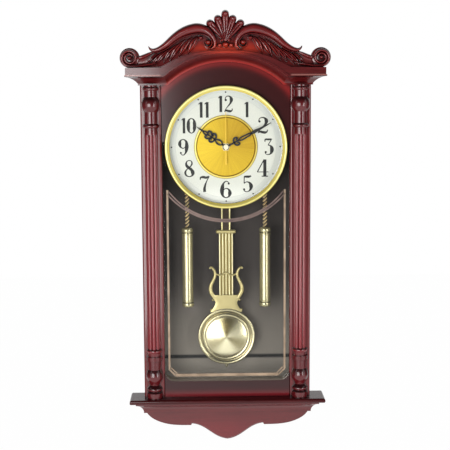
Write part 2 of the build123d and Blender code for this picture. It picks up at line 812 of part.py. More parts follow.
with BuildPart() as crest:
    with BuildSketch(front_plane(box_depth, dial_z)):
        with BuildLine():
            Line((0, spandrel_top), (0, shoulder_top))
            Line((0, shoulder_top), (shoulder_half, shoulder_top))
            shoulder = Spline(
                (shoulder_half, shoulder_top),
                shoulder_mid,
                (flick_half, flick_rise),
                tangents=((1, 0), (1, -0.1)),
            )
            hollow = ThreePointArc(
                shoulder @ 1,
                (flick_half - flick_hollow / 2, flick_rise - flick_hollow / 2),
                flick_root,
            )
            wing = Spline(
                flick_root,
                (volute_half - volute_radius, volute_rise + volute_radius / 8),
                tangents=((1, -0.2), (1, -0.1)),
            )
            Polyline(
                wing @ 1,
                (volute_half, volute_rise),
                (volute_half, cornice_top),
                crest_shelf,
            )
            Spline(
                crest_shelf,
                brow_bend,
                (0, spandrel_top),
                tangents=((-1, 0.5), (-1, 0)),
            )
        make_face()
        mirror(about=Plane.YZ)
        with Locations((-volute_half, volute_rise), (volute_half, volute_rise)):
            Circle(volute_radius)
    extrude(amount=crest_thickness)
    with BuildSketch(front_plane(box_depth + crest_thickness, dial_z)):
        with BuildLine():
            roll_top = Spline(
                (shoulder_half, shoulder_top - crest_edge),
                (shoulder_mid[0], shoulder_mid[1] - crest_edge),
                (flick_half - 2 * crest_edge, flick_rise - crest_edge / 4),
                tangents=((1, 0), (1, -0.1)),
            )
            roll_foot = Spline(
                (shoulder_half, shoulder_top - shoulder_roll),
                (shoulder_mid[0] - shoulder_roll / 4, shoulder_mid[1] - shoulder_roll),
                (flick_half - 2 * crest_edge, flick_rise - crest_edge),
                tangents=((1, 0), (1, 0.1)),
            )
            Line(roll_top @ 0, roll_foot @ 0)
            Line(roll_top @ 1, roll_foot @ 1)
        make_face()
        mirror(about=Plane.YZ)
    extrude(amount=volute_relief)
    for tilt, length in palmette_lobes:
        with BuildSketch(front_plane(box_depth, dial_z + palmette_rise)):
            with Locations(polar(length - palmette_lobe, 90 - tilt)):
                Circle(palmette_lobe)
            Circle(palmette_root)
            make_hull()
        extrude(amount=crest_thickness + palmette_relief - abs(tilt) * palmette_fall)
    for side in (-1, 1):
        for across, rise, radius in (
            (volute_half, volute_rise, volute_radius),
            (scroll_half, scroll_rise, scroll_radius),
        ):
            outer, inner = spiral(radius - crest_edge, volute_turns, volute_band, 90, side)
            with BuildSketch(front_plane(box_depth + crest_thickness, dial_z + rise, side * across)):
                with BuildLine():
                    Spline(*outer)
                    Spline(*inner)
                    Line(outer[0], inner[0])
                    Line(outer[-1], inner[-1])
                make_face()
                Circle(radius * volute_eye)
            extrude(amount=volute_relief)
finish(crest, "crest")

# Base: shelf, cove moulding and shaped apron
with BuildPart() as base_shelf:
    with BuildSketch(Plane.XY.offset(shelf_z - shelf_thickness)):
        with Locations((0, -face + (shelf_return - shelf_reach) / 2)):
            Rectangle(2 * shelf_half, shelf_return + shelf_reach)
    extrude(amount=shelf_thickness)
    nose = base_shelf.edges().filter_by(Axis.X).group_by(Axis.Y)[0]
    ends = base_shelf.edges().filter_by(Axis.Y)
    fillet(nose + ends, radius=shelf_nose)
finish(base_shelf, "base_shelf")

cove_top_z = shelf_z - shelf_thickness
cove_foot_z = cove_top_z - base_cove_height

with BuildPart() as base_cove:
    with BuildSketch(front_plane(face - shelf_return)):
        with BuildLine():
            Line((0, cove_foot_z), (half_case + base_cove_foot, cove_foot_z))
            base_lip = Line(
                (half_case + base_cove_foot, cove_foot_z),
                (half_case + base_cove_foot, cove_foot_z + cove_lip),
            )
            side_curve = RadiusArc(
                base_lip @ 1,
                (half_case + base_cove_top, cove_top_z - cove_lip),
                base_sweep,
            )
            Polyline(side_curve @ 1, (half_case + base_cove_top, cove_top_z), (0, cove_top_z))
            Line((0, cove_top_z), (0, cove_foot_z))
        make_face()
        mirror(about=Plane.YZ)
    extrude(amount=shelf_return + base_cove_top)
    with BuildSketch(Plane.YZ.offset(-half_case - base_cove_top)):
        with BuildLine():
            front_foot = Polyline(
                (-face + shelf_return, cove_foot_z),
                (-face - base_cove_foot, cove_foot_z),
                (-face - base_cove_foot, cove_foot_z + cove_lip),
            )
            front_curve = RadiusArc(
                front_foot @ 1,
                (-face - base_cove_top, cove_top_z - cove_lip),
                -base_sweep,
            )
            Polyline(
                front_curve @ 1,
                (-face - base_cove_top, cove_top_z),
                (-face + shelf_return, cove_top_z),
                (-face + shelf_return, cove_foot_z),
            )
        make_face()
    extrude(amount=2 * (half_case + base_cove_top), mode=Mode.INTERSECT)
finish(base_cove, "base_cove")

apron_foot_z = cove_foot_z - apron_height

with BuildPart() as apron:
    with BuildSketch(front_plane(face - apron_thickness)):
        with BuildLine():
            Line((0, cove_foot_z), (half_case - apron_inset, cove_foot_z))
            skirt = Spline(
                (half_case - apron_inset, cove_foot_z),
                (half_case - skirt_inset, cove_foot_z - skirt_drop),
                (apron_notch_half, cove_foot_z - apron_shoulder),
                tangents=((-0.6, -1), (-1, 0)),
            )
            notch = Line(
                skirt @ 1,
                (apron_notch_half - apron_notch / 2, cove_foot_z - apron_shoulder + apron_notch),
            )
            drop = Spline(notch @ 1, (0, apron_foot_z), tangents=((-1, -0.1), (-1, -0.12)))
            Line(drop @ 1, (0, cove_foot_z))
        make_face()
        mirror(about=Plane.YZ)
    extrude(amount=apron_thickness)
    front_edges = apron.faces().sort_by(Axis.Y)[0].outer_wire().edges()
    chamfer(front_edges.filter_by(GeomType.BSPLINE).sort_by(Axis.Z)[:2], length=apron_edge)
finish(apron, "apron")

# Dial: pan, plate, medallion, lens and bezel, all turned about the dial's axis
with BuildPart() as dial_pan:
    with BuildSketch(turning_plane(dial_z)):
        with BuildLine():
            Polyline(
                (bush_radius + running_fit, -pan_back),
                (pan_radius, -pan_back),
                (pan_radius, -face),
                (pan_flange, -face),
                (pan_flange, -pan_front),
                (pan_radius - pan_wall, -pan_front),
                (pan_radius - pan_wall, -dial_back),
                (bush_radius + running_fit, -dial_back),
                close=True,
            )
        make_face()
    revolve(axis=depth_axis(dial_z))
finish(dial_pan, "dial_pan")

with BuildPart() as dial_plate:
    with BuildSketch(front_plane(dial_back, dial_z)):
        Circle(pan_radius - pan_wall - dial_clearance)
        Circle(bush_radius + running_fit, mode=Mode.SUBTRACT)
    extrude(amount=dial_thickness)
finish(dial_plate, "dial_plate")

medallion_inner = medallion_radius - medallion_rim

with BuildPart() as dial_medallion:
    with BuildSketch(turning_plane(dial_z)):
        with BuildLine():
            Polyline(
                (bush_radius + running_fit, -dial_front),
                (medallion_radius, -dial_front),
                (medallion_radius, -medallion_front),
                (medallion_radius - medallion_rim / 3, -medallion_front - medallion_thickness),
                (medallion_inner, -medallion_front - medallion_thickness),
                (medallion_inner - medallion_groove / 2, -medallion_front + medallion_thickness / 2),
                (medallion_inner - medallion_groove, -medallion_front),
                (bush_radius + running_fit, -medallion_front),
                close=True,
            )
        make_face()
    revolve(axis=depth_axis(dial_z))
finish(dial_medallion, "dial_medallion")

with BuildPart() as dial_lens:
    with BuildSketch(front_plane(pan_front, dial_z)):
        Circle(pan_flange)
    extrude(amount=lens_thickness)
finish(dial_lens, "dial_lens")

bezel_inner = bezel_radius - bezel_width
lens_front = pan_front + lens_thickness
bezel_front = face + bezel_height
bezel_step = bezel_width / 3

with BuildPart() as bezel:
    with BuildSketch(turning_plane(dial_z)):
        with BuildLine():
            Polyline(
                (bezel_radius - bezel_wall, -face),
                (bezel_radius, -face),
                (bezel_radius, -lens_front),
            )
            bezel_shoulder = Spline(
                (bezel_radius, -lens_front),
                (bezel_radius - bezel_step, -bezel_front),
                tangents=((0, -1), (-1, 0)),
            )
            roll = Spline(
                bezel_shoulder @ 1,
                (bezel_radius - 2 * bezel_step, -lens_front - bezel_step),
                tangents=((-1, 0), (0, 1)),
            )
            Polyline(
                roll @ 1,
                (bezel_inner, -lens_front - bezel_wall),
                (bezel_inner, -lens_front),
                (pan_flange + running_fit, -lens_front),
                (bezel_radius - bezel_wall, -face),
            )
        make_face()
    revolve(axis=depth_axis(dial_z))
finish(bezel, "bezel")

with BuildPart() as hand_nut:
    with BuildSketch(front_plane(medallion_front, dial_z)):
        RegularPolygon(nut_across_flats / 2, 6, major_radius=False)
        Circle(bush_radius + running_fit, mode=Mode.SUBTRACT)
    extrude(amount=nut_thickness)
finish(hand_nut, "hand_nut")

# Hands: openwork scrolls cut from sheet, outlines drawn with the tip upwards
with BuildPart() as hour_hand:
    with BuildSketch(front_plane(hour_level, dial_z, turn=hour_angle)):
        Circle(hub_radius)
        for side in (-1, 1):
            with Locations((side * hour_loop_half, hour_loop_rise)):
                Ellipse(hour_loop_half, hour_loop_length, rotation=side * hour_loop_tilt)
                Ellipse(
                    hour_loop_half - filigree,
                    hour_loop_length - filigree,
                    rotation=side * hour_loop_tilt,
                    mode=Mode.SUBTRACT,
                )
            with Locations((side * hour_scroll_across, hour_scroll_rise)):
                Ellipse(hour_scroll_half, hour_scroll_length, rotation=side * hour_scroll_tilt)
                Ellipse(
                    hour_scroll_half - filigree,
                    hour_scroll_length - filigree,
                    rotation=side * hour_scroll_tilt,
                    mode=Mode.SUBTRACT,
                )
        with BuildLine():
            Polyline(
                (-filigree / 2, 0),
                (-filigree / 2, hour_stem_rise),
                (-spear_half, hour_spear_rise),
                (0, hour_length),
                (spear_half, hour_spear_rise),
                (filigree / 2, hour_stem_rise),
                (filigree / 2, 0),
                close=True,
            )
        make_face()
        Circle(pipe_radius, mode=Mode.SUBTRACT)
    extrude(amount=hand_thickness)
finish(hour_hand, "hour_hand")

with BuildPart() as minute_hand:
    with BuildSketch(front_plane(minute_level, dial_z, turn=minute_angle)):
        Circle(minute_hub_radius)
        for side in (-1, 1):
            with Locations((side * minute_loop_half, minute_loop_rise)):
                Ellipse(minute_loop_half, minute_loop_length, rotation=side * minute_loop_tilt)
                Ellipse(
                    minute_loop_half - filigree,
                    minute_loop_length - filigree,
                    rotation=side * minute_loop_tilt,
                    mode=Mode.SUBTRACT,
                )
        with BuildLine():
            Polyline(
                (-filigree / 2, 0),
                (-filigree / 2, minute_stem_rise),
                (-spear_half, minute_bar_foot),
                (-spear_half, minute_bar_top),
                (-filigree / 2, minute_taper_rise),
                (0, minute_length),
                (filigree / 2, minute_taper_rise),
                (spear_half, minute_bar_top),
                (spear_half, minute_bar_foot),
                (filigree / 2, minute_stem_rise),
                (filigree / 2, 0),
                close=True,
            )
        make_face()
        with Locations((0, (minute_bar_foot + minute_bar_top) / 2)):
            SlotCenterToCenter(
                minute_bar_top - minute_bar_foot,
                2 * (spear_half - filigree),
                rotation=90,
                mode=Mode.SUBTRACT,
            )
        Circle(tube_radius, mode=Mode.SUBTRACT)
    extrude(amount=hand_thickness)
finish(minute_hand, "minute_hand")

with BuildPart() as second_hand:
    with BuildSketch(front_plane(second_level, dial_z, turn=second_angle)):
        Circle(cap_radius)
        with BuildLine():
            Polyline(
                (-filigree / 2, 0),
                (-needle / 2, second_length),
                (needle / 2, second_length),
                (filigree / 2, 0),
                (filigree, -second_tail),
                (-filigree, -second_tail),
                close=True,
            )
        make_face()
    extrude(amount=hand_thickness)
    with BuildSketch(front_plane(second_level, dial_z)):
        Circle(second_radius)
    extrude(amount=hand_thickness / 2, mode=Mode.SUBTRACT)
    with BuildSketch(front_plane(second_level + hand_thickness, dial_z)):
        Circle(cap_crown_radius)
    extrude(amount=hand_thickness, taper=cap_slope)
finish(second_hand, "second_hand")

# Movement: housing with the threaded bush, rear cover and what they hold
housing_mid = (movement_rise - movement_drop) / 2
housing_height = movement_rise + movement_drop
boss_points = [
    (side * (movement_half - boss_inset), rise)
    for side in (-1, 1)
    for rise in (movement_rise - boss_inset, boss_inset - movement_drop)
]
pivot_points = [(third_x, third_up), (motion_x, motion_up)]

with BuildPart() as movement_housing:
    with BuildSketch(front_plane(movement_back, dial_z)):
        with Locations((0, housing_mid)):
            RectangleRounded(2 * movement_half, housing_height, 2 * movement_wall)
    extrude(amount=movement_depth)
    with BuildSketch(front_plane(movement_back, dial_z)):
        with Locations((0, housing_mid)):
            Rectangle(2 * (movement_half - movement_wall), housing_height - 2 * movement_wall)
    extrude(amount=movement_depth - movement_wall, mode=Mode.SUBTRACT)
    with BuildSketch(front_plane(movement_back, dial_z)):
        with Locations(*boss_points):
            Circle(boss_radius)
    extrude(amount=movement_depth - movement_wall)
    with BuildSketch(front_plane(movement_back, dial_z)):
        with Locations(*boss_points):
            Circle(movement_screw_radius)
    extrude(amount=movement_screw_length - cover_thickness, mode=Mode.SUBTRACT)
    with BuildSketch(front_plane(pan_back, dial_z)):
        Circle(bush_radius)
    extrude(amount=nut_front - pan_back)
    with BuildSketch(front_plane(movement_floor, dial_z)):
        Circle(pipe_radius + running_fit)
    extrude(amount=nut_front - movement_floor, mode=Mode.SUBTRACT)
    with BuildSketch(front_plane(movement_floor, dial_z)):
        with Locations(*pivot_points):
            Circle(pivot_radius + running_fit)
        with Locations((knob_x, knob_up)):
            Circle(knob_shaft_radius + running_fit)
    extrude(amount=pivot_hole, mode=Mode.SUBTRACT)
finish(movement_housing, "movement_housing")

with BuildPart() as movement_cover:
    with BuildSketch(front_plane(cover_back, dial_z)):
        with Locations((0, housing_mid)):
            RectangleRounded(2 * movement_half, housing_height, 2 * movement_wall)
        with Locations((0, -battery_drop)):
            Rectangle(
                battery_length + 2 * battery_end_room,
                2 * (battery_radius + battery_fit),
                mode=Mode.SUBTRACT,
            )
        with Locations((knob_x, knob_up)):
            Circle(knob_shaft_radius + running_fit, mode=Mode.SUBTRACT)
        with Locations(*boss_points):
            Circle(movement_screw_radius, mode=Mode.SUBTRACT)
    extrude(amount=cover_thickness)
    with BuildSketch(front_plane(movement_back, dial_z)):
        with Locations(*pivot_points):
            Circle(pivot_radius + running_fit)
    extrude(amount=-pivot_hole, mode=Mode.SUBTRACT)
    with BuildSketch(front_plane(pendulum_depth - hanger_thickness, dial_z)):
        with Locations((0, -pivot_drop)):
            Circle(pivot_pin_radius)
    extrude(amount=cover_back - pendulum_depth + hanger_thickness)
finish(movement_cover, "movement_cover")

with BuildPart() as movement_screws:
    with Locations(*[front_plane(cover_back, dial_z + up, x) for x, up in boss_points]):
        Cylinder(movement_screw_radius, movement_screw_length, align=seated)
        Cylinder(movement_screw_head, movement_screw_head_height, align=hung)
finish(movement_screws, "movement_screws")

with BuildPart() as motor_can:
    with BuildSketch(front_plane(movement_back, dial_z)):
        Circle(motor_radius)
    extrude(amount=motor_thickness)
    with BuildSketch(front_plane(motor_front, dial_z)):
        Circle(second_radius + running_fit)
    extrude(amount=-motor_bore, mode=Mode.SUBTRACT)
finish(motor_can, "motor_can")

with BuildPart() as circuit_board:
    with BuildSketch(front_plane((movement_back + pan_back) / 2, dial_z)):
        with Locations((0, movement_rise - movement_wall - circuit_height / 2)):
            Rectangle(circuit_width, circuit_height)
    extrude(amount=circuit_thickness)
finish(circuit_board, "circuit_board")

battery_depth = movement_back + battery_radius + battery_fit

with BuildPart() as battery:
    with BuildSketch(Plane.YZ.offset(-battery_length / 2)):
        with Locations((-battery_depth, dial_z - battery_drop)):
            Circle(battery_radius)
    extrude(amount=battery_length - battery_button)
    with BuildSketch(Plane.YZ.offset(battery_length / 2 - battery_button)):
        with Locations((-battery_depth, dial_z - battery_drop)):
            Circle(battery_button_radius)
    extrude(amount=battery_button)
finish(battery, "battery")

with BuildPart() as battery_contacts:
    for side in (-1, 1):
        near = side * battery_length / 2
        far = side * (movement_half - movement_wall)
        with BuildSketch(Plane.XY.offset(dial_z - battery_drop - contact_half)):
            with BuildLine():
                Polyline(
                    (near, -battery_depth + contact_half),
                    (near, -battery_depth - contact_half),
                    (far, -battery_depth - contact_half),
                    (far, -battery_depth + contact_half),
                    (far - side * contact_thickness, -battery_depth + contact_half),
                    (far - side * contact_thickness, -battery_depth - contact_half + contact_thickness),
                    (near + side * contact_thickness, -battery_depth - contact_half + contact_thickness),
                    (near + side * contact_thickness, -battery_depth + contact_half),
                    close=True,
                )
            make_face()
        extrude(amount=2 * contact_half)
finish(battery_contacts, "battery_contacts")

with BuildPart() as pendulum_coil:
    with BuildSketch(front_plane(movement_back, dial_z)):
        with Locations((0, -coil_drop)):
            Circle(coil_radius)
    extrude(amount=coil_length)
    with BuildSketch(front_plane(movement_back + bobbin_flange, dial_z)):
        with Locations((0, -coil_drop)):
            Circle(coil_radius)
            Circle(coil_radius - bobbin_groove, mode=Mode.SUBTRACT)
    extrude(amount=coil_length - 2 * bobbin_flange, mode=Mode.SUBTRACT)
finish(pendulum_coil, "pendulum_coil")

# Wheel train
with BuildPart() as minute_arbor:
    with BuildSketch(front_plane(centre_level, dial_z)):
        Circle(tube_radius)
    extrude(amount=minute_level + hand_thickness - centre_level)
    with BuildSketch(front_plane(cannon_level, dial_z)):
        with BuildLine():
            Polyline(*gear_outline(cannon_teeth, motion_module, motion_direction), close=True)
        make_face()
    extrude(amount=pinion_thickness)
    with BuildSketch(front_plane(centre_level, dial_z)):
        with BuildLine():
            Polyline(*gear_outline(centre_teeth, centre_module, third_direction), close=True)
        make_face()
    extrude(amount=wheel_thickness)
    with BuildSketch(front_plane(centre_level, dial_z)):
        Circle(second_radius + running_fit)
    extrude(amount=minute_level + hand_thickness - centre_level, mode=Mode.SUBTRACT)
finish(minute_arbor, "minute_arbor")

with BuildPart() as hour_wheel:
    with BuildSketch(front_plane(hour_wheel_level, dial_z)):
        with BuildLine():
            Polyline(*gear_outline(hour_teeth, hour_module, motion_direction), close=True)
        make_face()
    extrude(amount=wheel_thickness)
    with BuildSketch(front_plane(hour_wheel_level, dial_z)):
        Circle(pipe_radius)
    extrude(amount=hour_level + hand_thickness - hour_wheel_level)
    with BuildSketch(front_plane(hour_wheel_level, dial_z)):
        Circle(tube_radius + running_fit)
    extrude(amount=hour_level + hand_thickness - hour_wheel_level, mode=Mode.SUBTRACT)
finish(hour_wheel, "hour_wheel")

with BuildPart() as second_arbor:
    with BuildSketch(front_plane(motor_front - arbor_reach, dial_z)):
        Circle(second_radius)
    extrude(amount=second_level + hand_thickness / 2 - motor_front + arbor_reach)
    with BuildSketch(front_plane(third_level - pinion_overhang, dial_z)):
        with BuildLine():
            Polyline(*gear_outline(second_pinion_teeth, third_module, third_direction), close=True)
        make_face()
    extrude(amount=pinion_thickness)
finish(second_arbor, "second_arbor")

with BuildPart() as third_wheel:
    with BuildSketch(front_plane(movement_back - pivot_reach, dial_z, third_x)):
        with Locations((0, third_up)):
            Circle(pivot_radius)
    extrude(amount=movement_floor - movement_back + 2 * pivot_reach)
    with BuildSketch(front_plane(centre_level - pinion_overhang, dial_z + third_up, third_x)):
        with BuildLine():
            Polyline(*gear_outline(third_pinion_teeth, centre_module, third_mesh, gap=True), close=True)
        make_face()
    extrude(amount=pinion_thickness)
    with BuildSketch(front_plane(third_level, dial_z + third_up, third_x)):
        with BuildLine():
            Polyline(*gear_outline(third_teeth, third_module, third_mesh, gap=True), close=True)
        make_face()
    extrude(amount=wheel_thickness)
finish(third_wheel, "third_wheel")

with BuildPart() as motion_wheel:
    with BuildSketch(front_plane(movement_back - pivot_reach, dial_z + motion_up, motion_x)):
        Circle(pivot_radius)
    extrude(amount=movement_floor - movement_back + 2 * pivot_reach)
    with BuildSketch(front_plane(cannon_level + pinion_overhang, dial_z + motion_up, motion_x)):
        with BuildLine():
            Polyline(*gear_outline(motion_teeth, motion_module, motion_mesh, gap=True), close=True)
        make_face()
    extrude(amount=wheel_thickness)
    with BuildSketch(front_plane(hour_wheel_level - pinion_overhang, dial_z + motion_up, motion_x)):
        with BuildLine():
            Polyline(*gear_outline(motion_pinion_teeth, hour_module, motion_mesh, gap=True), close=True)
        make_face()
    extrude(amount=pinion_thickness)
finish(motion_wheel, "motion_wheel")

with BuildPart() as setting_knob:
    with BuildSketch(front_plane(cover_back - running_fit - knob_height, dial_z + knob_up, knob_x)):
        Circle(knob_shaft_radius)
    extrude(amount=movement_floor + pivot_reach - cover_back + running_fit + knob_height)
    with BuildSketch(front_plane(cannon_level, dial_z + knob_up, knob_x)):
        with BuildLine():
            Polyline(*gear_outline(cannon_teeth, motion_module, motion_mesh), close=True)
        make_face()
    extrude(amount=pinion_thickness)
    with BuildSketch(front_plane(cover_back - running_fit - knob_height, dial_z + knob_up, knob_x)):
        Circle(knob_radius)
        with PolarLocations(knob_radius, knob_grips):
            Circle(grip_radius, mode=Mode.SUBTRACT)
    extrude(amount=knob_height)
finish(setting_knob, "setting_knob")

# Pendulum: hanger on the movement's pin, rods, gridiron, lyre and bob
pivot_z = dial_z - pivot_drop
hanger_z = dial_z - hanger_drop
crossbar_top_z = dial_z - crossbar_drop + crossbar_height / 2
crossbar_foot_z = dial_z - crossbar_drop - crossbar_height / 2
saddle_z = dial_z - saddle_drop
bob_z = dial_z - bob_drop
hanger_back = pendulum_depth - hanger_thickness / 2
grid_back = pendulum_depth - grid_plate / 2
lyre_back = grid_back + grid_plate + grid_radius

with BuildPart() as pendulum_hanger:
    with BuildSketch(front_plane(hanger_back)):
        with Locations((0, pivot_z)):
            Circle(hanger_width / 2)
        with Locations((0, (pivot_z + hanger_z) / 2)):
            Rectangle(hanger_width, pivot_z - hanger_z)
        with Locations((0, hanger_z + hanger_foot / 2)):
            Rectangle(rod_spacing + 4 * rod_radius, hanger_foot)
        with Locations((0, pivot_z)):
            Circle(pivot_pin_radius + running_fit, mode=Mode.SUBTRACT)
    extrude(amount=hanger_thickness)
finish(pendulum_hanger, "pendulum_hanger")

with BuildPart() as pendulum_magnet:
    with BuildSketch(front_plane(hanger_back + hanger_thickness)):
        with Locations((0, pivot_z - magnet_drop)):
            Circle(magnet_radius)
    extrude(amount=magnet_thickness)
finish(pendulum_magnet, "pendulum_magnet")

with BuildPart() as pendulum_rods:
    with BuildSketch(Plane.XY.offset(crossbar_top_z)):
        with Locations((-rod_spacing / 2, -pendulum_depth), (rod_spacing / 2, -pendulum_depth)):
            Circle(rod_radius)
    extrude(amount=hanger_z - crossbar_top_z)
finish(pendulum_rods, "pendulum_rods")

with BuildPart() as pendulum_crossbar:
    with BuildSketch(front_plane(pendulum_depth - crossbar_height / 2)):
        with Locations((0, dial_z - crossbar_drop)):
            SlotOverall(crossbar_width, crossbar_height)
    extrude(amount=crossbar_height)
    chamfer(pendulum_crossbar.faces().sort_by(Axis.Y)[0].outer_wire().edges(), length=rod_radius)
finish(pendulum_crossbar, "pendulum_crossbar")

grid_half = grid_spacing * (grid_rods - 1) / 2

with BuildPart() as pendulum_grid:
    with BuildSketch(Plane.XY.offset(saddle_z)):
        with Locations((0, -pendulum_depth)):
            Rectangle(2 * (grid_half + grid_radius), grid_plate)
        with Locations((0, -grid_back - grid_plate)):
            with GridLocations(grid_spacing, 1, grid_rods, 1):
                Circle(grid_radius)
        with Locations((0, -grid_back + grid_radius)):
            Rectangle(4 * grid_half, 2 * grid_radius, mode=Mode.SUBTRACT)
    extrude(amount=crossbar_foot_z - saddle_z)
finish(pendulum_grid, "pendulum_grid")

lyre_tip_z = dial_z - lyre_top_drop
lyre_neck_z = lyre_tip_z - 2 * lyre_band
lyre_belly_z = dial_z - lyre_belly_drop
saddle_seat = bob_radius + running_fit

with BuildPart() as pendulum_lyre:
    with BuildSketch(front_plane(lyre_back)):
        with BuildLine():
            horn_outer = Spline(
                (lyre_tip_half, lyre_tip_z),
                (lyre_neck_half, lyre_neck_z),
                (lyre_belly_half, lyre_belly_z),
                (saddle_waist, saddle_z),
                tangents=((-1, -0.2), (-1, -0.6)),
            )
            horn_inner = Spline(
                (lyre_tip_half, lyre_tip_z),
                (lyre_neck_half - lyre_band, lyre_neck_z),
                (lyre_belly_half - lyre_band, lyre_belly_z),
                (saddle_waist - 2 * lyre_band, saddle_z),
                tangents=((-1, 0.2), (-1, -0.6)),
            )
            Line(horn_outer @ 1, horn_inner @ 1)
        make_face()
        with BuildLine():
            garland = Spline(
                (0, lyre_neck_z - lyre_band),
                (lyre_neck_half / 2, lyre_neck_z),
                (lyre_neck_half - lyre_band / 2, lyre_neck_z),
                tangents=((1, 0.4), (1, 0.2)),
            )
            Line(garland @ 1, (lyre_neck_half - lyre_band / 2, lyre_neck_z - lyre_band))
            swag = Spline(
                (lyre_neck_half - lyre_band / 2, lyre_neck_z - lyre_band),
                (lyre_neck_half / 2, lyre_neck_z - lyre_band),
                (0, lyre_neck_z - 2 * lyre_band),
                tangents=((-1, -0.2), (-1, -0.4)),
            )
            Line(swag @ 1, (0, lyre_neck_z - lyre_band))
        make_face()
        with BuildLine():
            Line((0, saddle_z), (saddle_waist, saddle_z))
            waist = ThreePointArc(
                (saddle_waist, saddle_z),
                (saddle_waist - lyre_band / 2, saddle_z - 2 * lyre_band),
                (saddle_half, bob_z + sqrt(saddle_seat**2 - saddle_half**2) + lyre_band / 2),
            )
            Line(waist @ 1, (saddle_half, bob_z + sqrt(saddle_seat**2 - saddle_half**2)))
            ThreePointArc(
                (saddle_half, bob_z + sqrt(saddle_seat**2 - saddle_half**2)),
                (saddle_half / 2, bob_z + sqrt(saddle_seat**2 - saddle_half**2 / 4)),
                (0, bob_z + saddle_seat),
            )
            Line((0, bob_z + saddle_seat), (0, saddle_z))
        make_face()
        mirror(about=Plane.YZ)
    extrude(amount=lyre_thickness)
    with BuildSketch(front_plane(grid_back)):
        with BuildLine():
            Polyline(
                (-saddle_waist / 2, saddle_z),
                (saddle_waist / 2, saddle_z),
                (saddle_waist / 2, bob_z + sqrt(saddle_seat**2 - saddle_waist**2 / 4)),
            )
            ThreePointArc(
                (saddle_waist / 2, bob_z + sqrt(saddle_seat**2 - saddle_waist**2 / 4)),
                (0, bob_z + saddle_seat),
                (-saddle_waist / 2, bob_z + sqrt(saddle_seat**2 - saddle_waist**2 / 4)),
            )
            Line(
                (-saddle_waist / 2, bob_z + sqrt(saddle_seat**2 - saddle_waist**2 / 4)),
                (-saddle_waist / 2, saddle_z),
            )
        make_face()
    extrude(amount=lyre_back - grid_back)
finish(pendulum_lyre, "pendulum_lyre")

rim_back = pendulum_depth - bob_thickness / 2
rim_front = pendulum_depth + bob_thickness / 2

with BuildPart() as bob_rim_disc:
    with BuildSketch(turning_plane(bob_z)):
        with BuildLine():
            Polyline(
                (0, -rim_back),
                (bob_radius - bob_rim / 2, -rim_back),
                (bob_radius, -rim_back - bob_rim / 2),
                (bob_radius, -rim_front),
            )
            ThreePointArc(
                (bob_radius, -rim_front),
                (bob_radius - bob_rim / 2, -rim_front - bob_rim / 2),
                (bob_radius - bob_rim, -rim_front),
            )
            Polyline(
                (bob_radius - bob_rim, -rim_front),
                (bob_radius - bob_rim, -rim_front + bob_recess),
                (0, -rim_front + bob_recess),
                (0, -rim_back),
            )
        make_face()
    revolve(axis=depth_axis(bob_z))
    with Locations((0, -pendulum_depth, bob_z - bob_radius)):
        Cylinder(finial_radius / 2, finial_length)
    with Locations((0, -pendulum_depth, bob_z - bob_radius - finial_length + finial_radius)):
        Sphere(finial_radius)
finish(bob_rim_disc, "bob_rim")

dish_back = rim_front - bob_recess

with BuildPart() as bob_dish:
    with BuildSketch(turning_plane(bob_z)):
        with BuildLine():
            Line((0, -dish_back), (dish_radius, -dish_back))
            edge = ThreePointArc(
                (dish_radius, -dish_back),
                (dish_radius - dish_step / 3, -dish_back - dish_height / 2),
                (dish_radius - dish_step, -dish_back - dish_height / 2),
            )
            dome = Spline(
                edge @ 1,
                (dish_radius / 2, -dish_back - dish_shoulder),
                (0, -dish_back - dish_height),
                tangents=((-1, -0.3), (-1, 0)),
            )
            Line(dome @ 1, (0, -dish_back))
        make_face()
    revolve(axis=depth_axis(bob_z))
finish(bob_dish, "bob_dish")

# Weights: hooks on the dial pan, link chains, tubes and end caps
hook_z = dial_z - hook_drop
link_pitch = chain_drop / chain_links
link_length = link_pitch + 2 * chain_wire + chain_play
link_bore = chain_width - 2 * chain_wire
first_link_z = hook_z + hook_radius + chain_play + chain_wire - link_length / 2

with BuildPart() as weight_hooks:
    for side in (-1, 1):
        with BuildSketch(front_plane(weight_depth - 2 * chain_wire)):
            with Locations((side * weight_half, hook_z)):
                Circle(hook_radius)
        extrude(amount=pan_back - weight_depth + 2 * chain_wire)
        with BuildSketch(Plane.XY.offset(hook_z)):
            with Locations((side * weight_half, -weight_depth + 2 * chain_wire)):
                Circle(hook_radius)
        extrude(amount=hook_lip)
        with BuildSketch(front_plane(pan_back - 2 * hook_radius)):
            with Locations((side * weight_half, hook_z)):
                Circle(hook_foot_radius)
        extrude(amount=2 * hook_radius)
finish(weight_hooks, "weight_hooks")

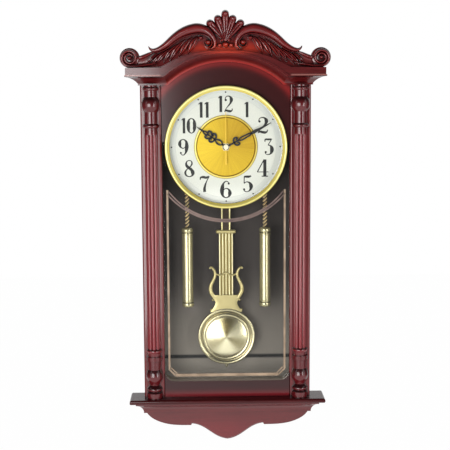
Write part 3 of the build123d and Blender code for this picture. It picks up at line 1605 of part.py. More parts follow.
for side, name in ((-1, "left"), (1, "right")):
    weight_x = side * weight_half
    link_planes = (
        front_plane(weight_depth - chain_wire / 2, 0, weight_x),
        side_plane(weight_x - chain_wire / 2, weight_depth),
    )
    with BuildPart() as weight_chain:
        for link in range(chain_links):
            with BuildSketch(link_planes[link % 2]):
                with Locations((0, first_link_z - link * link_pitch)):
                    SlotOverall(link_length, chain_width, rotation=90)
                    SlotOverall(link_length - 2 * chain_wire, link_bore, rotation=90, mode=Mode.SUBTRACT)
            extrude(amount=chain_wire)
    finish(weight_chain, f"{name}_weight_chain")

    last_link_z = first_link_z - (chain_links - 1) * link_pitch
    bail_top_z = last_link_z - link_length / 2 + chain_wire + chain_play + chain_wire
    cap_top_z = bail_top_z - bail_height
    tube_top_z = cap_top_z - cap_height + cap_socket
    tube_foot_z = tube_top_z - weight_tube_length
    with BuildPart() as weight_caps:
        with BuildSketch(link_planes[chain_links % 2]):
            with BuildLine():
                Polyline(
                    (-chain_wire, bail_top_z),
                    (chain_wire, bail_top_z),
                    (bail_width / 2, cap_top_z),
                    (bail_width / 2 - chain_wire, cap_top_z),
                    (chain_wire / 2, bail_top_z - chain_wire),
                    (-chain_wire / 2, bail_top_z - chain_wire),
                    (chain_wire - bail_width / 2, cap_top_z),
                    (-bail_width / 2, cap_top_z),
                    close=True,
                )
            make_face()
        extrude(amount=chain_wire)
        with BuildSketch(front_plane(weight_depth, 0, weight_x)):
            with BuildLine():
                Polyline(
                    (0, cap_top_z),
                    (bail_width / 2, cap_top_z),
                    (weight_cap_radius, cap_top_z - cap_bevel),
                    (weight_cap_radius, cap_top_z - cap_height / 2),
                    (weight_tube_radius, cap_top_z - cap_height / 2),
                    (weight_cap_radius, cap_top_z - cap_height / 2 - cap_bevel),
                    (weight_cap_radius, cap_top_z - cap_height),
                    (weight_tube_radius, cap_top_z - cap_height),
                    (weight_tube_radius, tube_top_z),
                    (0, tube_top_z),
                    close=True,
                )
            make_face()
        revolve(axis=Axis((weight_x, -weight_depth, 0), (0, 0, 1)))
        with BuildSketch(front_plane(weight_depth, 0, weight_x)):
            with BuildLine():
                Polyline(
                    (0, tube_foot_z),
                    (weight_tube_radius, tube_foot_z),
                    (weight_tube_radius, tube_foot_z + cap_socket),
                    (weight_cap_radius, tube_foot_z + cap_socket),
                    (weight_cap_radius, tube_foot_z),
                    (weight_tube_radius, tube_foot_z - cap_socket / 2),
                    (bail_width / 2, tube_foot_z - cap_socket),
                    (0, tube_foot_z - cap_socket),
                    close=True,
                )
            make_face()
        revolve(axis=Axis((weight_x, -weight_depth, 0), (0, 0, 1)))
    finish(weight_caps, f"{name}_weight_caps")

    with BuildPart() as weight_tube:
        with BuildSketch(Plane.XY.offset(tube_foot_z)):
            with Locations((weight_x, -weight_depth)):
                Circle(weight_tube_radius)
                Circle(weight_tube_radius - weight_tube_wall, mode=Mode.SUBTRACT)
        extrude(amount=weight_tube_length)
    finish(weight_tube, f"{name}_weight_tube")
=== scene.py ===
"""Looks of a carved pendulum wall clock: its surfaces, finishes, studio light and camera."""

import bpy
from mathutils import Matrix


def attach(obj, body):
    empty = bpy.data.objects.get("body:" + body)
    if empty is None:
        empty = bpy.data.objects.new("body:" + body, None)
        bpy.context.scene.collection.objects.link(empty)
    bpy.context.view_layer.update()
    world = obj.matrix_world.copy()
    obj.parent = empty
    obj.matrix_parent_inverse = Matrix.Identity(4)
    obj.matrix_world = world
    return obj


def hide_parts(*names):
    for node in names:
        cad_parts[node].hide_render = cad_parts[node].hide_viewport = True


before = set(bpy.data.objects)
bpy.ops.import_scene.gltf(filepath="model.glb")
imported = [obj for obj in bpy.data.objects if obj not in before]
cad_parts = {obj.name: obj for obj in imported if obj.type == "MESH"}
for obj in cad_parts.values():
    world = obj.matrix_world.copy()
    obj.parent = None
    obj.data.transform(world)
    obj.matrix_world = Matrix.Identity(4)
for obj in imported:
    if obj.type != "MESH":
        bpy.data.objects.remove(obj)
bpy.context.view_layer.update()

import logging
import math
from dataclasses import dataclass
from enum import Enum
from functools import cached_property
from typing import Any, Iterable, Sequence, Union

import bmesh
import bpy
import numpy as np
from mathutils import Matrix, Vector

LOG = logging.getLogger("wall_clock")
MM = 0.001
PER_METRE = 1000.0
DIAL_UP = -85.0
SECTION_STEPS = 15
VEIN_DEEP = 0.35
VEIN_HALF = 0.2
HUMP_POWER = 0.7
KNOB_ROWS = 9
KNOB_STEPS = 32
SHARP = 40.0
MERGE = 1e-7
TINY = 1e-9
OPEN_AIR_SAMPLES = 6
NOISE_MIDDLE = 0.5
HOUR_ANGLE = 30.0
WHITE = (1.0, 1.0, 1.0, 1.0)
Colour = tuple[float, float, float, float]
Station = tuple[float, ...]
Place = tuple[float, float]
Point = tuple[float, float, float]


def tone(red: int, green: int, blue: int) -> Colour:
    """Turn a colour as seen on a screen into the linear colour a shader takes, by the sRGB curve.

    Args:
        red: Red, 0 to 255.
        green: Green, 0 to 255.
        blue: Blue, 0 to 255.

    Returns:
        The linear colour with full alpha.
    """
    seen = np.array((red, green, blue)) / 255.0
    linear = np.where(seen <= 0.04045, seen / 12.92, ((seen + 0.055) / 1.055) ** 2.4)
    return (float(linear[0]), float(linear[1]), float(linear[2]), 1.0)


def spot(across: Any, depth: Any, up: Any) -> np.ndarray:
    """Stack clock coordinates into points of the frame.

    Args:
        across: Millimetres to the right of the dial centre, seen from the front.
        depth: Millimetres forwards from the wall.
        up: Millimetres above the dial centre.

    Returns:
        Points in metres, one more axis than the inputs.
    """
    across, depth, up = np.broadcast_arrays(across, depth, up)
    return np.stack((across, -depth, up + DIAL_UP), axis=-1) * MM


def flowing(stations: Sequence[Station], count: int) -> np.ndarray:
    """Run a smooth curve through stations.

    A cubic Hermite curve over the chord length of the first two columns, with
    centred differences as its slopes; every further column is carried along.

    Args:
        stations: Rows of numbers, the first two of them a place.
        count: Number of points on the curve.

    Returns:
        The curve, one row per point.
    """
    rows = np.asarray(stations, dtype=float)
    chords = np.linalg.norm(np.diff(rows[:, :2], axis=0), axis=1)
    knots = np.concatenate(([0.0], np.cumsum(chords)))
    slopes = np.gradient(rows, knots, axis=0)
    at = np.linspace(0.0, knots[-1], count)
    part = np.clip(np.searchsorted(knots, at, side="right") - 1, 0, len(knots) - 2)
    span = (knots[part + 1] - knots[part])[:, None]
    run = (at - knots[part])[:, None] / span
    start = (1 + 2 * run) * (1 - run) ** 2 * rows[part]
    leave = run * (1 - run) ** 2 * span * slopes[part]
    end = run**2 * (3 - 2 * run) * rows[part + 1]
    arrive = run**2 * (run - 1) * span * slopes[part + 1]
    return start + leave + end + arrive


def turn_clockwise(across: np.ndarray, up: np.ndarray, degrees: float) -> tuple[np.ndarray, np.ndarray]:
    """Turn places round the dial centre.

    Args:
        across: Places to the right.
        up: Places upwards.
        degrees: Clockwise angle seen from the front.

    Returns:
        The turned places, across and up.
    """
    angle = math.radians(degrees)
    turned_across = across * math.cos(angle) + up * math.sin(angle)
    turned_up = up * math.cos(angle) - across * math.sin(angle)
    return turned_across, turned_up


def at_hour(hour: int, radius: float) -> np.ndarray:
    """Give the across and up of an hour's place on a circle round the dial centre."""
    lean = math.radians(hour * HOUR_ANGLE)
    return np.array((math.sin(lean), math.cos(lean))) * radius


class Section(Enum):
    """Cross-sections a carved or printed line can have."""

    ROUND = "round"
    CREASED = "creased"
    FLAT = "flat"

    def outline(self) -> tuple[np.ndarray, np.ndarray]:
        """Give the section from its left foot over its crown to its right foot.

        Flat is a plate with square edges, round a half circle, and creased a hump
        with a vein pressed down its middle.

        Returns:
            Sideways places from -1 to 1 and heights from 0 to 1.
        """
        if self is Section.FLAT:
            return np.array((-1.0, -1.0, 1.0, 1.0)), np.array((0.0, 1.0, 1.0, 0.0))
        side = np.cos(np.linspace(math.pi, 0.0, SECTION_STEPS))
        if self is Section.ROUND:
            return side, np.sqrt(1 - side**2)
        vein = VEIN_DEEP * np.exp(-((side / VEIN_HALF) ** 2))
        return side, (1 - side**2) ** HUMP_POWER * (1 - vein)


class Axis(Enum):
    """Directions a turned piece can have its axis in."""

    DEPTH = "depth"
    UP = "up"


def turned(profile: Sequence[Station], axis: Axis, centre: Place, steps: int) -> np.ndarray:
    """Turn a profile round an axis: each profile point runs round a full circle.

    Args:
        profile: Rows of radius and place along the axis.
        axis: Direction of the axis.
        centre: Across and up of a depth axis, or across and depth of an upright one.
        steps: Number of points round.

    Returns:
        A grid, profile by angle, that closes round its second side.
    """
    rows = np.asarray(profile, dtype=float)
    angle = np.linspace(0.0, 2 * math.pi, steps, endpoint=False)
    first = centre[0] + rows[:, :1] * np.sin(angle)
    second = centre[1] + rows[:, :1] * np.cos(angle)
    along = np.broadcast_to(rows[:, 1:2], first.shape)
    if axis is Axis.DEPTH:
        return spot(first, along, second)
    return spot(first, second, along)


def closed(grid: np.ndarray) -> np.ndarray:
    """Close the ends of a grid: one more row at each end gathers in the middle of that end.

    Args:
        grid: Rows of points, each row round a section.

    Returns:
        The grid with its two end rows.
    """
    first = np.broadcast_to(grid[:1].mean(axis=1, keepdims=True), grid[:1].shape)
    last = np.broadcast_to(grid[-1:].mean(axis=1, keepdims=True), grid[-1:].shape)
    return np.concatenate((first, grid, last))


def carried(
    stations: Sequence[Station],
    section: Section,
    base: float,
    count: int,
    sink: float = 0.0,
    mirror: float = 1.0,
    turn: float = 0.0,
) -> np.ndarray:
    """Carry a section along a flat path.

    The section's side goes along the path's normal, times the half width there,
    and its height goes forwards, times the height there.

    Args:
        stations: Rows of across, up, half width and height.
        section: Shape carried along.
        base: Depth the line lies on.
        count: Number of points along the path.
        sink: Depth the foot goes below the base.
        mirror: -1 mirrors the line to the other side of the clock.
        turn: Clockwise turn of the whole line, in degrees.

    Returns:
        A grid, path by section, that closes round its second side.
    """
    path = flowing(stations, count)
    way = np.gradient(path[:, :2], axis=0)
    way /= np.maximum(np.linalg.norm(way, axis=1, keepdims=True), TINY)
    side, lift = section.outline()
    half = path[:, 2:3] * side
    across = path[:, :1] - way[:, 1:2] * half
    up = path[:, 1:2] + way[:, :1] * half
    depth = base - sink * (lift <= 0.0) + path[:, 3:4] * lift
    across, up = turn_clockwise(across * mirror, up, turn)
    return closed(spot(across, depth, up))


def knob(centre: Place, radius: float, base: float, height: float, sink: float = 0.0) -> np.ndarray:
    """Make a round boss: a quarter ellipse turned round a depth axis, on a short wall.

    Args:
        centre: Across and up of its middle.
        radius: Radius at its foot.
        base: Depth of its foot.
        height: Height of its crown.
        sink: Depth its wall goes below the base.

    Returns:
        A grid that closes round its second side.
    """
    rise = np.linspace(0.0, math.pi / 2, KNOB_ROWS)
    dome = np.column_stack((radius * np.cos(rise), base + height * np.sin(rise)))
    foot = np.array(((0.0, base - sink), (radius, base - sink)))
    return turned(np.vstack((foot, dome)), Axis.DEPTH, centre, KNOB_STEPS)


class Patchwork:
    """Collects surface grids and makes one closed mesh of them."""

    def __init__(self, grids: Iterable[np.ndarray] = ()) -> None:
        """Start with some grids, or none.

        Args:
            grids: Grids that close round their second side.
        """
        self.points: list[np.ndarray] = []
        self.quads: list[np.ndarray] = []
        self.count = 0
        for grid in grids:
            self.add(grid)

    def add(self, grid: np.ndarray, wrap: bool = True) -> "Patchwork":
        """Add a grid of points as quads.

        Args:
            grid: Rows by columns of points.
            wrap: Whether the last column joins the first.

        Returns:
            This patchwork.
        """
        rows, columns = grid.shape[:2]
        index = np.arange(rows * columns).reshape(rows, columns) + self.count
        if wrap:
            index = np.hstack((index, index[:, :1]))
        corners = (index[:-1, :-1], index[:-1, 1:], index[1:, 1:], index[1:, :-1])
        self.quads.append(np.stack(corners, axis=-1).reshape(-1, 4))
        self.points.append(grid.reshape(-1, 3))
        self.count += rows * columns
        return self

    def build(self, name: str, sharp: float) -> bpy.types.Object:
        """Make the object: doubles merged, faces turned outwards, smooth up to an angle.

        Args:
            name: Name of the piece.
            sharp: Angle in degrees past which an edge stays sharp.

        Returns:
            The object, linked to the scene.
        """
        mesh = bpy.data.meshes.new(name)
        mesh.from_pydata(np.vstack(self.points), [], np.vstack(self.quads).tolist())
        work = bmesh.new()
        work.from_mesh(mesh)
        bmesh.ops.remove_doubles(work, verts=work.verts, dist=MERGE)
        bmesh.ops.dissolve_degenerate(work, edges=work.edges, dist=MERGE)
        bmesh.ops.recalc_face_normals(work, faces=work.faces)
        work.to_mesh(mesh)
        work.free()
        mesh.shade_smooth()
        mesh.set_sharp_from_angle(angle=math.radians(sharp))
        made = bpy.data.objects.new(name, mesh)
        bpy.context.scene.collection.objects.link(made)
        return made


class Wire:
    """A shader value that can be used in arithmetic; each operation adds a Math node."""

    def __init__(self, shader: "Shader", socket: bpy.types.NodeSocket) -> None:
        """Wrap a socket of a shader."""
        self.shader = shader
        self.socket = socket

    def maths(self, operation: str, *values: "Value") -> "Wire":
        """Add a Math node for an operation on values."""
        return self.shader.wire("ShaderNodeMath", {"operation": operation}, dict(enumerate(values)))

    def __add__(self, other: "Value") -> "Wire":
        """Add."""
        return self.maths("ADD", self, other)

    __radd__ = __add__

    def __mul__(self, other: "Value") -> "Wire":
        """Multiply."""
        return self.maths("MULTIPLY", self, other)

    __rmul__ = __mul__

    def __sub__(self, other: "Value") -> "Wire":
        """Take away."""
        return self.maths("SUBTRACT", self, other)

    def __rsub__(self, other: "Value") -> "Wire":
        """Take this away from a number."""
        return self.maths("SUBTRACT", other, self)

    def __truediv__(self, other: "Value") -> "Wire":
        """Divide."""
        return self.maths("DIVIDE", self, other)

    def __pow__(self, other: "Value") -> "Wire":
        """Raise to a power."""
        return self.maths("POWER", self, other)

    def __abs__(self) -> "Wire":
        """Drop the sign."""
        return self.maths("ABSOLUTE", self)

    def fade(self) -> "Wire":
        """Give e to the power of minus this value."""
        return self.maths("EXPONENT", self * -1.0)

    def root(self) -> "Wire":
        """Give the square root."""
        return self.maths("SQRT", self)

    def sine(self) -> "Wire":
        """Give the sine of an angle in radians."""
        return self.maths("SINE", self)

    def cosine(self) -> "Wire":
        """Give the cosine of an angle in radians."""
        return self.maths("COSINE", self)

    def turn_from(self, rise: "Wire") -> "Wire":
        """Give the clockwise angle from straight up, in radians, of this place across and a rise."""
        return self.maths("ARCTAN2", self, rise)

    def ramp(self, low: float, high: float) -> "Wire":
        """Go smoothly from 0 at low to 1 at high."""
        settings = {"interpolation_type": "SMOOTHSTEP"}
        return self.shader.wire("ShaderNodeMapRange", settings, {0: self, 1: low, 2: high, 3: 0.0, 4: 1.0})

    def band(self, place: float, width: float, power: float = 2.0) -> "Wire":
        """Give a soft band: 1 at a place, fading over a width, squarer with a higher power."""
        return (((self - place) / width) ** power).fade()


Value = Union[Wire, float]


class Shader:
    """Builds the nodes of one material, or of the world."""

    def __init__(self, name: str, owner: Any = None) -> None:
        """Start an empty material, or empty the nodes of another owner.

        Args:
            name: Name of a new material.
            owner: Something else that has nodes, such as a world.
        """
        self.material = owner or bpy.data.materials.new(name)
        self.material.use_nodes = True
        self.tree = self.material.node_tree
        self.tree.nodes.clear()

    def node(self, kind: str, settings: dict[str, Any], sockets: dict[Any, Any]) -> bpy.types.Node:
        """Add a node.

        Args:
            kind: Blender's name of the node type.
            settings: Values of the node itself, set first.
            sockets: Values or wires of its inputs, by name or place.

        Returns:
            The node.
        """
        made = self.tree.nodes.new(kind)
        for key, value in settings.items():
            setattr(made, key, value)
        for key, value in sockets.items():
            if isinstance(value, Wire):
                self.tree.links.new(value.socket, made.inputs[key])
            else:
                made.inputs[key].default_value = value
        return made

    def wire(self, kind: str, settings: dict[str, Any], sockets: dict[Any, Any], output: Any = 0) -> Wire:
        """Add a node and wrap one of its outputs."""
        return Wire(self, self.node(kind, settings, sockets).outputs[output])

    def part(self, vector: Wire, direction: str) -> Wire:
        """Give the X, Y or Z part of a vector."""
        return self.wire("ShaderNodeSeparateXYZ", {}, {0: vector}, direction)

    @cached_property
    def where(self) -> Wire:
        """Object coordinates, in metres."""
        return self.wire("ShaderNodeTexCoord", {}, {}, "Object")

    @cached_property
    def across(self) -> Wire:
        """Millimetres to the right of the dial centre."""
        return self.part(self.where, "X") * PER_METRE

    @cached_property
    def depth(self) -> Wire:
        """Millimetres forwards from the wall."""
        return self.part(self.where, "Y") * -PER_METRE

    @cached_property
    def up(self) -> Wire:
        """Millimetres above the dial centre."""
        return self.part(self.where, "Z") * PER_METRE - DIAL_UP

    @cached_property
    def radius(self) -> Wire:
        """Millimetres from the dial's axis."""
        return (self.across**2.0 + self.up**2.0).root()

    def noise(
        self, waves: Any, detail: float = 3.0, rough: float = 0.55, over: Union[Wire, None] = None
    ) -> Wire:
        """Give noise of about 0.5.

        Args:
            waves: Waves per metre, one number, or one for each direction.
            detail: Number of finer layers.
            rough: Share of each finer layer.
            over: Vector that the noise runs over, Object coordinates if not given.

        Returns:
            The noise.
        """
        scale = tuple(np.broadcast_to(waves, 3).tolist())
        sockets = {"Vector": over or self.where, "Scale": scale}
        moved = self.wire("ShaderNodeMapping", {"vector_type": "POINT"}, sockets)
        sockets = {"Vector": moved, "Scale": 1.0, "Detail": detail, "Roughness": rough}
        return self.wire("ShaderNodeTexNoise", {}, sockets)

    def facing(self, direction: str) -> Wire:
        """Give how far the surface faces along X, Y or Z, from -1 to 1."""
        return self.part(self.wire("ShaderNodeNewGeometry", {}, {}, "Normal"), direction)

    def open_air(self, distance: float) -> Wire:
        """Give how open a place is, from 0 in a crevice to 1, over a distance in metres."""
        settings = {"samples": OPEN_AIR_SAMPLES}
        return self.wire("ShaderNodeAmbientOcclusion", settings, {"Distance": distance}, "AO")

    def mix(self, share: Value, first: Any, second: Any) -> Wire:
        """Mix two colours by a share of the second."""
        settings = {"data_type": "RGBA", "clamp_factor": True}
        return self.wire("ShaderNodeMix", settings, {0: share, 6: first, 7: second}, 2)

    def bump(self, height: Wire, strength: float, distance: float) -> Wire:
        """Turn a height into a normal; distance is in metres."""
        return self.wire("ShaderNodeBump", {}, {"Height": height, "Strength": strength, "Distance": distance})

    def glow(self, colour: Any) -> Wire:
        """Give an emission of a colour, where white is a strength of 1."""
        return self.wire("ShaderNodeEmission", {}, {"Color": colour, "Strength": 1.0})

    def surface(self, shader: Wire) -> bpy.types.Material:
        """End in a material output and give the material."""
        self.node("ShaderNodeOutputMaterial", {}, {"Surface": shader})
        return self.material

    def finish(self, **sockets: Any) -> bpy.types.Material:
        """End in a Principled shader; underscores in socket names stand for spaces."""
        named = {key.replace("_", " "): value for key, value in sockets.items()}
        return self.surface(self.wire("ShaderNodeBsdfPrincipled", {}, named))


class Grain(Enum):
    """Directions that wood grain runs in, as waves per metre in each direction."""

    ACROSS = (14.0, 260.0, 260.0)
    UPRIGHT = (260.0, 260.0, 14.0)


@dataclass(frozen=True)
class Lacquer:
    """Dark red sprayed lacquer over grain, glowing where thin, with painted shade: near black in crevices and
    on upward faces.
    """

    name: str
    grain: Grain = Grain.ACROSS
    figure: float = 0.5
    dark: Colour = tone(54, 9, 11)
    red: Colour = tone(104, 25, 26)
    glow: Colour = tone(208, 62, 36)
    glow_share: float = 0.0
    glow_up: float = 0.0
    glow_wide: float = 60.0
    glow_high: float = 30.0
    glow_facing: Place = (0.2, 0.7)
    lip: Colour = tone(172, 44, 38)
    lip_share: float = 0.0
    lip_radius: float = 0.0
    lip_width: float = 2.6
    # Painted highlight line and painted shadow line along the cornice beside the arch.
    bead: Colour = tone(168, 112, 104)
    bead_groove: Colour = tone(18, 3, 4)
    bead_up: float = 0.0
    bead_half: float = 1.1
    bead_from: float = 93.0
    bead_fade: float = 4.0
    bead_share: float = 0.75
    groove_drop: float = 2.4
    groove_half: float = 0.9
    groove_share: float = 0.9
    # Painted shade on a column's turned capital and base.
    turned_dark: Colour = tone(46, 7, 9)
    turned_share: float = 0.0
    shaft_middle: float = -145.0
    shaft_half: float = 158.0
    shaft_fade: float = 14.0
    # Painted shade: hollow colours crevices found by occlusion, and shade colours upward faces.
    hollow: Colour = tone(22, 2, 4)
    crevice: float = 0.006
    shade: Colour = tone(14, 3, 4)
    shaded_top: float = 0.85
    shaded_from: float = 0.1
    shaded_fade: float = 0.65
    coat: float = 1.0

    def lit(self, shader: Shader, body: Wire) -> Wire:
        """Lay the thin places over the body colour: an oval glow on the front, and a lip round the arch.

        Args:
            shader: Shader of the finish.
            body: Colour so far.

        Returns:
            The colour with its thin places.
        """
        if self.glow_share:
            high = ((shader.up - self.glow_up) / self.glow_high) ** 2.0
            oval = ((shader.across / self.glow_wide) ** 2.0 + high).fade()
            front = 1.0 - shader.facing("Y").ramp(*self.glow_facing)
            body = shader.mix(oval * front * self.glow_share, body, self.glow)
        if self.lip_share:
            lip = shader.radius.band(self.lip_radius, self.lip_width)
            body = shader.mix(lip * self.lip_share, body, self.lip)
        return body

    def lined(self, shader: Shader, body: Wire) -> Wire:
        """Lay a painted highlight line and a painted shadow line on the cornice beside the arch, and painted
        shade on a column's turned ends, over the colour.

        Args:
            shader: Shader of the finish.
            body: Colour so far.

        Returns:
            The colour with its lines.
        """
        # Painted highlight line, with a painted shadow line below it.
        if self.bead_up:
            beside = abs(shader.across).ramp(self.bead_from, self.bead_from + self.bead_fade)
            bead = shader.up.band(self.bead_up, self.bead_half)
            groove = shader.up.band(self.bead_up - self.groove_drop, self.groove_half)
            body = shader.mix(bead * beside * self.bead_share, body, self.bead)
            body = shader.mix(groove * beside * self.groove_share, body, self.bead_groove)
        # Painted shade on the turned ends.
        if self.turned_share:
            off_middle = abs(shader.up - self.shaft_middle)
            past_shaft = off_middle.ramp(self.shaft_half, self.shaft_half + self.shaft_fade)
            body = shader.mix(past_shaft * self.turned_share, body, self.turned_dark)
        return body

    def material(self) -> bpy.types.Material:
        """Make the finish: grain and cloud mix two reds, painted shade turns crevices and upward faces near
        black, the coat is glossy.

        Returns:
            The material.
        """
        shader = Shader(self.name)
        grain = shader.noise(self.grain.value, detail=4.0, rough=0.6)
        cloud = shader.noise(16.0, detail=2.0)
        ripple = shader.noise(220.0, detail=2.0)
        streak = self.figure * (grain.ramp(0.3, 0.75) - NOISE_MIDDLE)
        body = shader.mix(0.5 + streak + 0.4 * (cloud - NOISE_MIDDLE), self.dark, self.red)
        body = self.lined(shader, self.lit(shader, body))
        # Painted shade: near black in crevices, then dark on upward faces.
        body = shader.mix(shader.open_air(self.crevice).ramp(0.2, 0.9), self.hollow, body)
        top = shader.facing("Z").ramp(self.shaded_from, self.shaded_from + self.shaded_fade)
        return shader.finish(
            Base_Color=shader.mix(top * self.shaded_top, body, self.shade),
            Roughness=0.3 + 0.12 * grain,
            Normal=shader.bump(ripple, strength=0.06, distance=0.0005),
            Specular_IOR_Level=0.12,
            Coat_Weight=self.coat,
            Coat_Roughness=0.13,
            Coat_IOR=1.55,
        )


@dataclass(frozen=True)
class Metal:
    """A metal with fine brushing, small stains and a slightly uneven polish."""

    name: str
    bright: Colour
    dull: Colour
    rough: float = 0.14
    brushed: Any = 500.0
    metallic: float = 1.0
    wear: float = 0.45
    # Painted shade: hollow is a brown that darkens crevices found by occlusion.
    crevice: float = 0.0
    hollow: Colour = tone(40, 28, 10)

    def material(self) -> bpy.types.Material:
        """Make the finish: brushing and stains mix the two tones and vary the polish, and, where set, painted
        brown shade darkens crevices.

        Returns:
            The material.
        """
        shader = Shader(self.name)
        brush = shader.noise(self.brushed, detail=3.0, rough=0.6)
        worn = shader.noise(40.0, detail=3.0).ramp(0.45, 0.8)
        skin = shader.mix((worn + 0.4 * brush) * self.wear, self.bright, self.dull)
        # Painted shade in crevices.
        if self.crevice:
            skin = shader.mix(shader.open_air(self.crevice).ramp(0.3, 0.9), self.hollow, skin)
        return shader.finish(
            Base_Color=skin,
            Metallic=self.metallic,
            Roughness=self.rough + 0.06 * worn + 0.04 * brush,
            Normal=shader.bump(brush, strength=0.04 * self.wear, distance=0.00002),
        )


@dataclass(frozen=True)
class Sunburst:
    """A gold disc brushed in rays from the dial centre, with a painted highlight over the disc and its pale
    rim, and painted shade lines in the grooves inside and on the rim.
    """

    name: str
    groove: float = 43.6
    rim_groove: float = 47.0
    rim_fade: Place = (0.5, 1.6)
    light: Colour = tone(228, 196, 40)
    dark: Colour = tone(184, 146, 12)
    rim_light: Colour = tone(250, 238, 140)
    rim_dark: Colour = tone(206, 178, 66)
    line: Colour = tone(112, 88, 14)

    def material(self) -> bpy.types.Material:
        """Make the finish: noise over the direction from the centre gives the rays, two sines a painted
        highlight.

        Returns:
            The material.
        """
        shader = Shader(self.name)
        turn = shader.across.turn_from(shader.up)
        around = shader.wire("ShaderNodeCombineXYZ", {}, {0: turn * 9.0, 1: shader.radius * 0.01, 2: 0.0})
        rays = shader.noise((1.5, 1.0, 1.0), detail=5.0, rough=0.75, over=around)
        # Painted highlight: lighter and darker by direction round the centre, on the disc and its rim.
        painted_sheen = 0.5 + 0.36 * (turn - 4.4).cosine() + 0.14 * (turn * 2.0 - 2.4).sine()
        gold = shader.mix(0.85 * painted_sheen + 1.1 * (rays - NOISE_MIDDLE), self.dark, self.light)
        rim = (shader.radius - self.groove).ramp(*self.rim_fade)
        gold = shader.mix(rim, gold, shader.mix(painted_sheen, self.rim_dark, self.rim_light))
        # Painted shade lines in the grooves.
        for place, width, share in ((self.groove, 0.75, 0.9), (self.rim_groove, 0.5, 0.6)):
            gold = shader.mix(shader.radius.band(place, width) * share, gold, self.line)
        return shader.finish(
            Base_Color=gold,
            Metallic=0.3,
            Roughness=0.34 + 0.14 * rays,
            Normal=shader.bump(rays, strength=0.08, distance=0.0002),
        )


@dataclass(frozen=True)
class Spun:
    """Brass spun about the bob's middle, with fine rings and painted reflections: soft rays of painted light
    and dark run out from the middle, a painted highlight lies on the outer edge, and painted shade lines lie
    in the grooves.
    """

    name: str
    centre_up: float
    # Painted shade lines in the grooves.
    groove: float = 39.0
    groove_half: float = 1.6
    dome: float = 32.6
    dome_half: float = 0.9
    # Painted highlight on the outer edge; the next two places bound the painted reflections.
    edge: float = 44.8
    edge_fade: float = 0.8
    fans_from: Place = (-1.0, 5.0)
    fans_to: Place = (27.0, 33.0)
    light: Colour = tone(252, 246, 206)
    dark: Colour = tone(118, 104, 56)
    line: Colour = tone(84, 72, 34)

    def material(self) -> bpy.types.Material:
        """Make the finish: sines of the direction give the painted reflections, and noise over the radius the
        rings.

        Returns:
            The material.
        """
        shader = Shader(self.name)
        rise = shader.up - self.centre_up
        radius = (shader.across**2.0 + rise**2.0).root()
        turn = shader.across.turn_from(rise)
        # Painted reflection: lighter and darker by direction round the middle.
        painted_fans = 0.56 + 0.34 * (turn * 3.0 - 7.85).sine() + 0.16 * (turn - 1.9).sine()
        outwards = shader.wire("ShaderNodeCombineXYZ", {}, {0: radius})
        rings = shader.noise((2.2, 1.0, 1.0), detail=3.0, over=outwards)
        shade = (painted_fans + 0.4 * (rings - NOISE_MIDDLE)).ramp(-0.1, 1.0)
        inner = (1.0 - radius.ramp(*self.fans_to)) * radius.ramp(*self.fans_from)
        skin = shader.mix(0.5 - 0.5 * inner + inner * shade, self.dark, self.light)
        # Painted highlight on the outer edge, then painted shade lines in the grooves.
        skin = shader.mix(radius.ramp(self.edge, self.edge + self.edge_fade), skin, self.light)
        grooves = radius.band(self.groove, self.groove_half) + radius.band(self.dome, self.dome_half)
        return shader.finish(
            Base_Color=shader.mix(grooves * 0.75, skin, self.line),
            Metallic=0.85,
            Roughness=0.2 + 0.08 * rings,
            Normal=shader.bump(rings, strength=0.02, distance=0.0001),
        )


@dataclass(frozen=True)
class Gridiron:
    """Pale brass rods over a plate painted darker as shade; the depth tells one from the other."""

    name: str
    plate: float = 24.9
    plate_fade: float = 0.9
    rod_light: Colour = tone(226, 219, 176)
    rod_dark: Colour = tone(204, 194, 142)
    # Painted shade between the rods.
    gap: Colour = tone(128, 114, 62)

    def material(self) -> bpy.types.Material:
        """Make the finish: forward of the plate's face the rods are pale, and the gaps behind them get an
        olive painted shade.

        Returns:
            The material.
        """
        shader = Shader(self.name)
        fine = shader.noise((90.0, 90.0, 12.0), detail=2.0)
        rod = shader.mix(fine, self.rod_light, self.rod_dark)
        forward = shader.depth.ramp(self.plate, self.plate + self.plate_fade)
        return shader.finish(
            Base_Color=shader.mix(forward, self.gap, rod),
            Metallic=0.6,
            Roughness=0.3 + 0.1 * fine,
        )


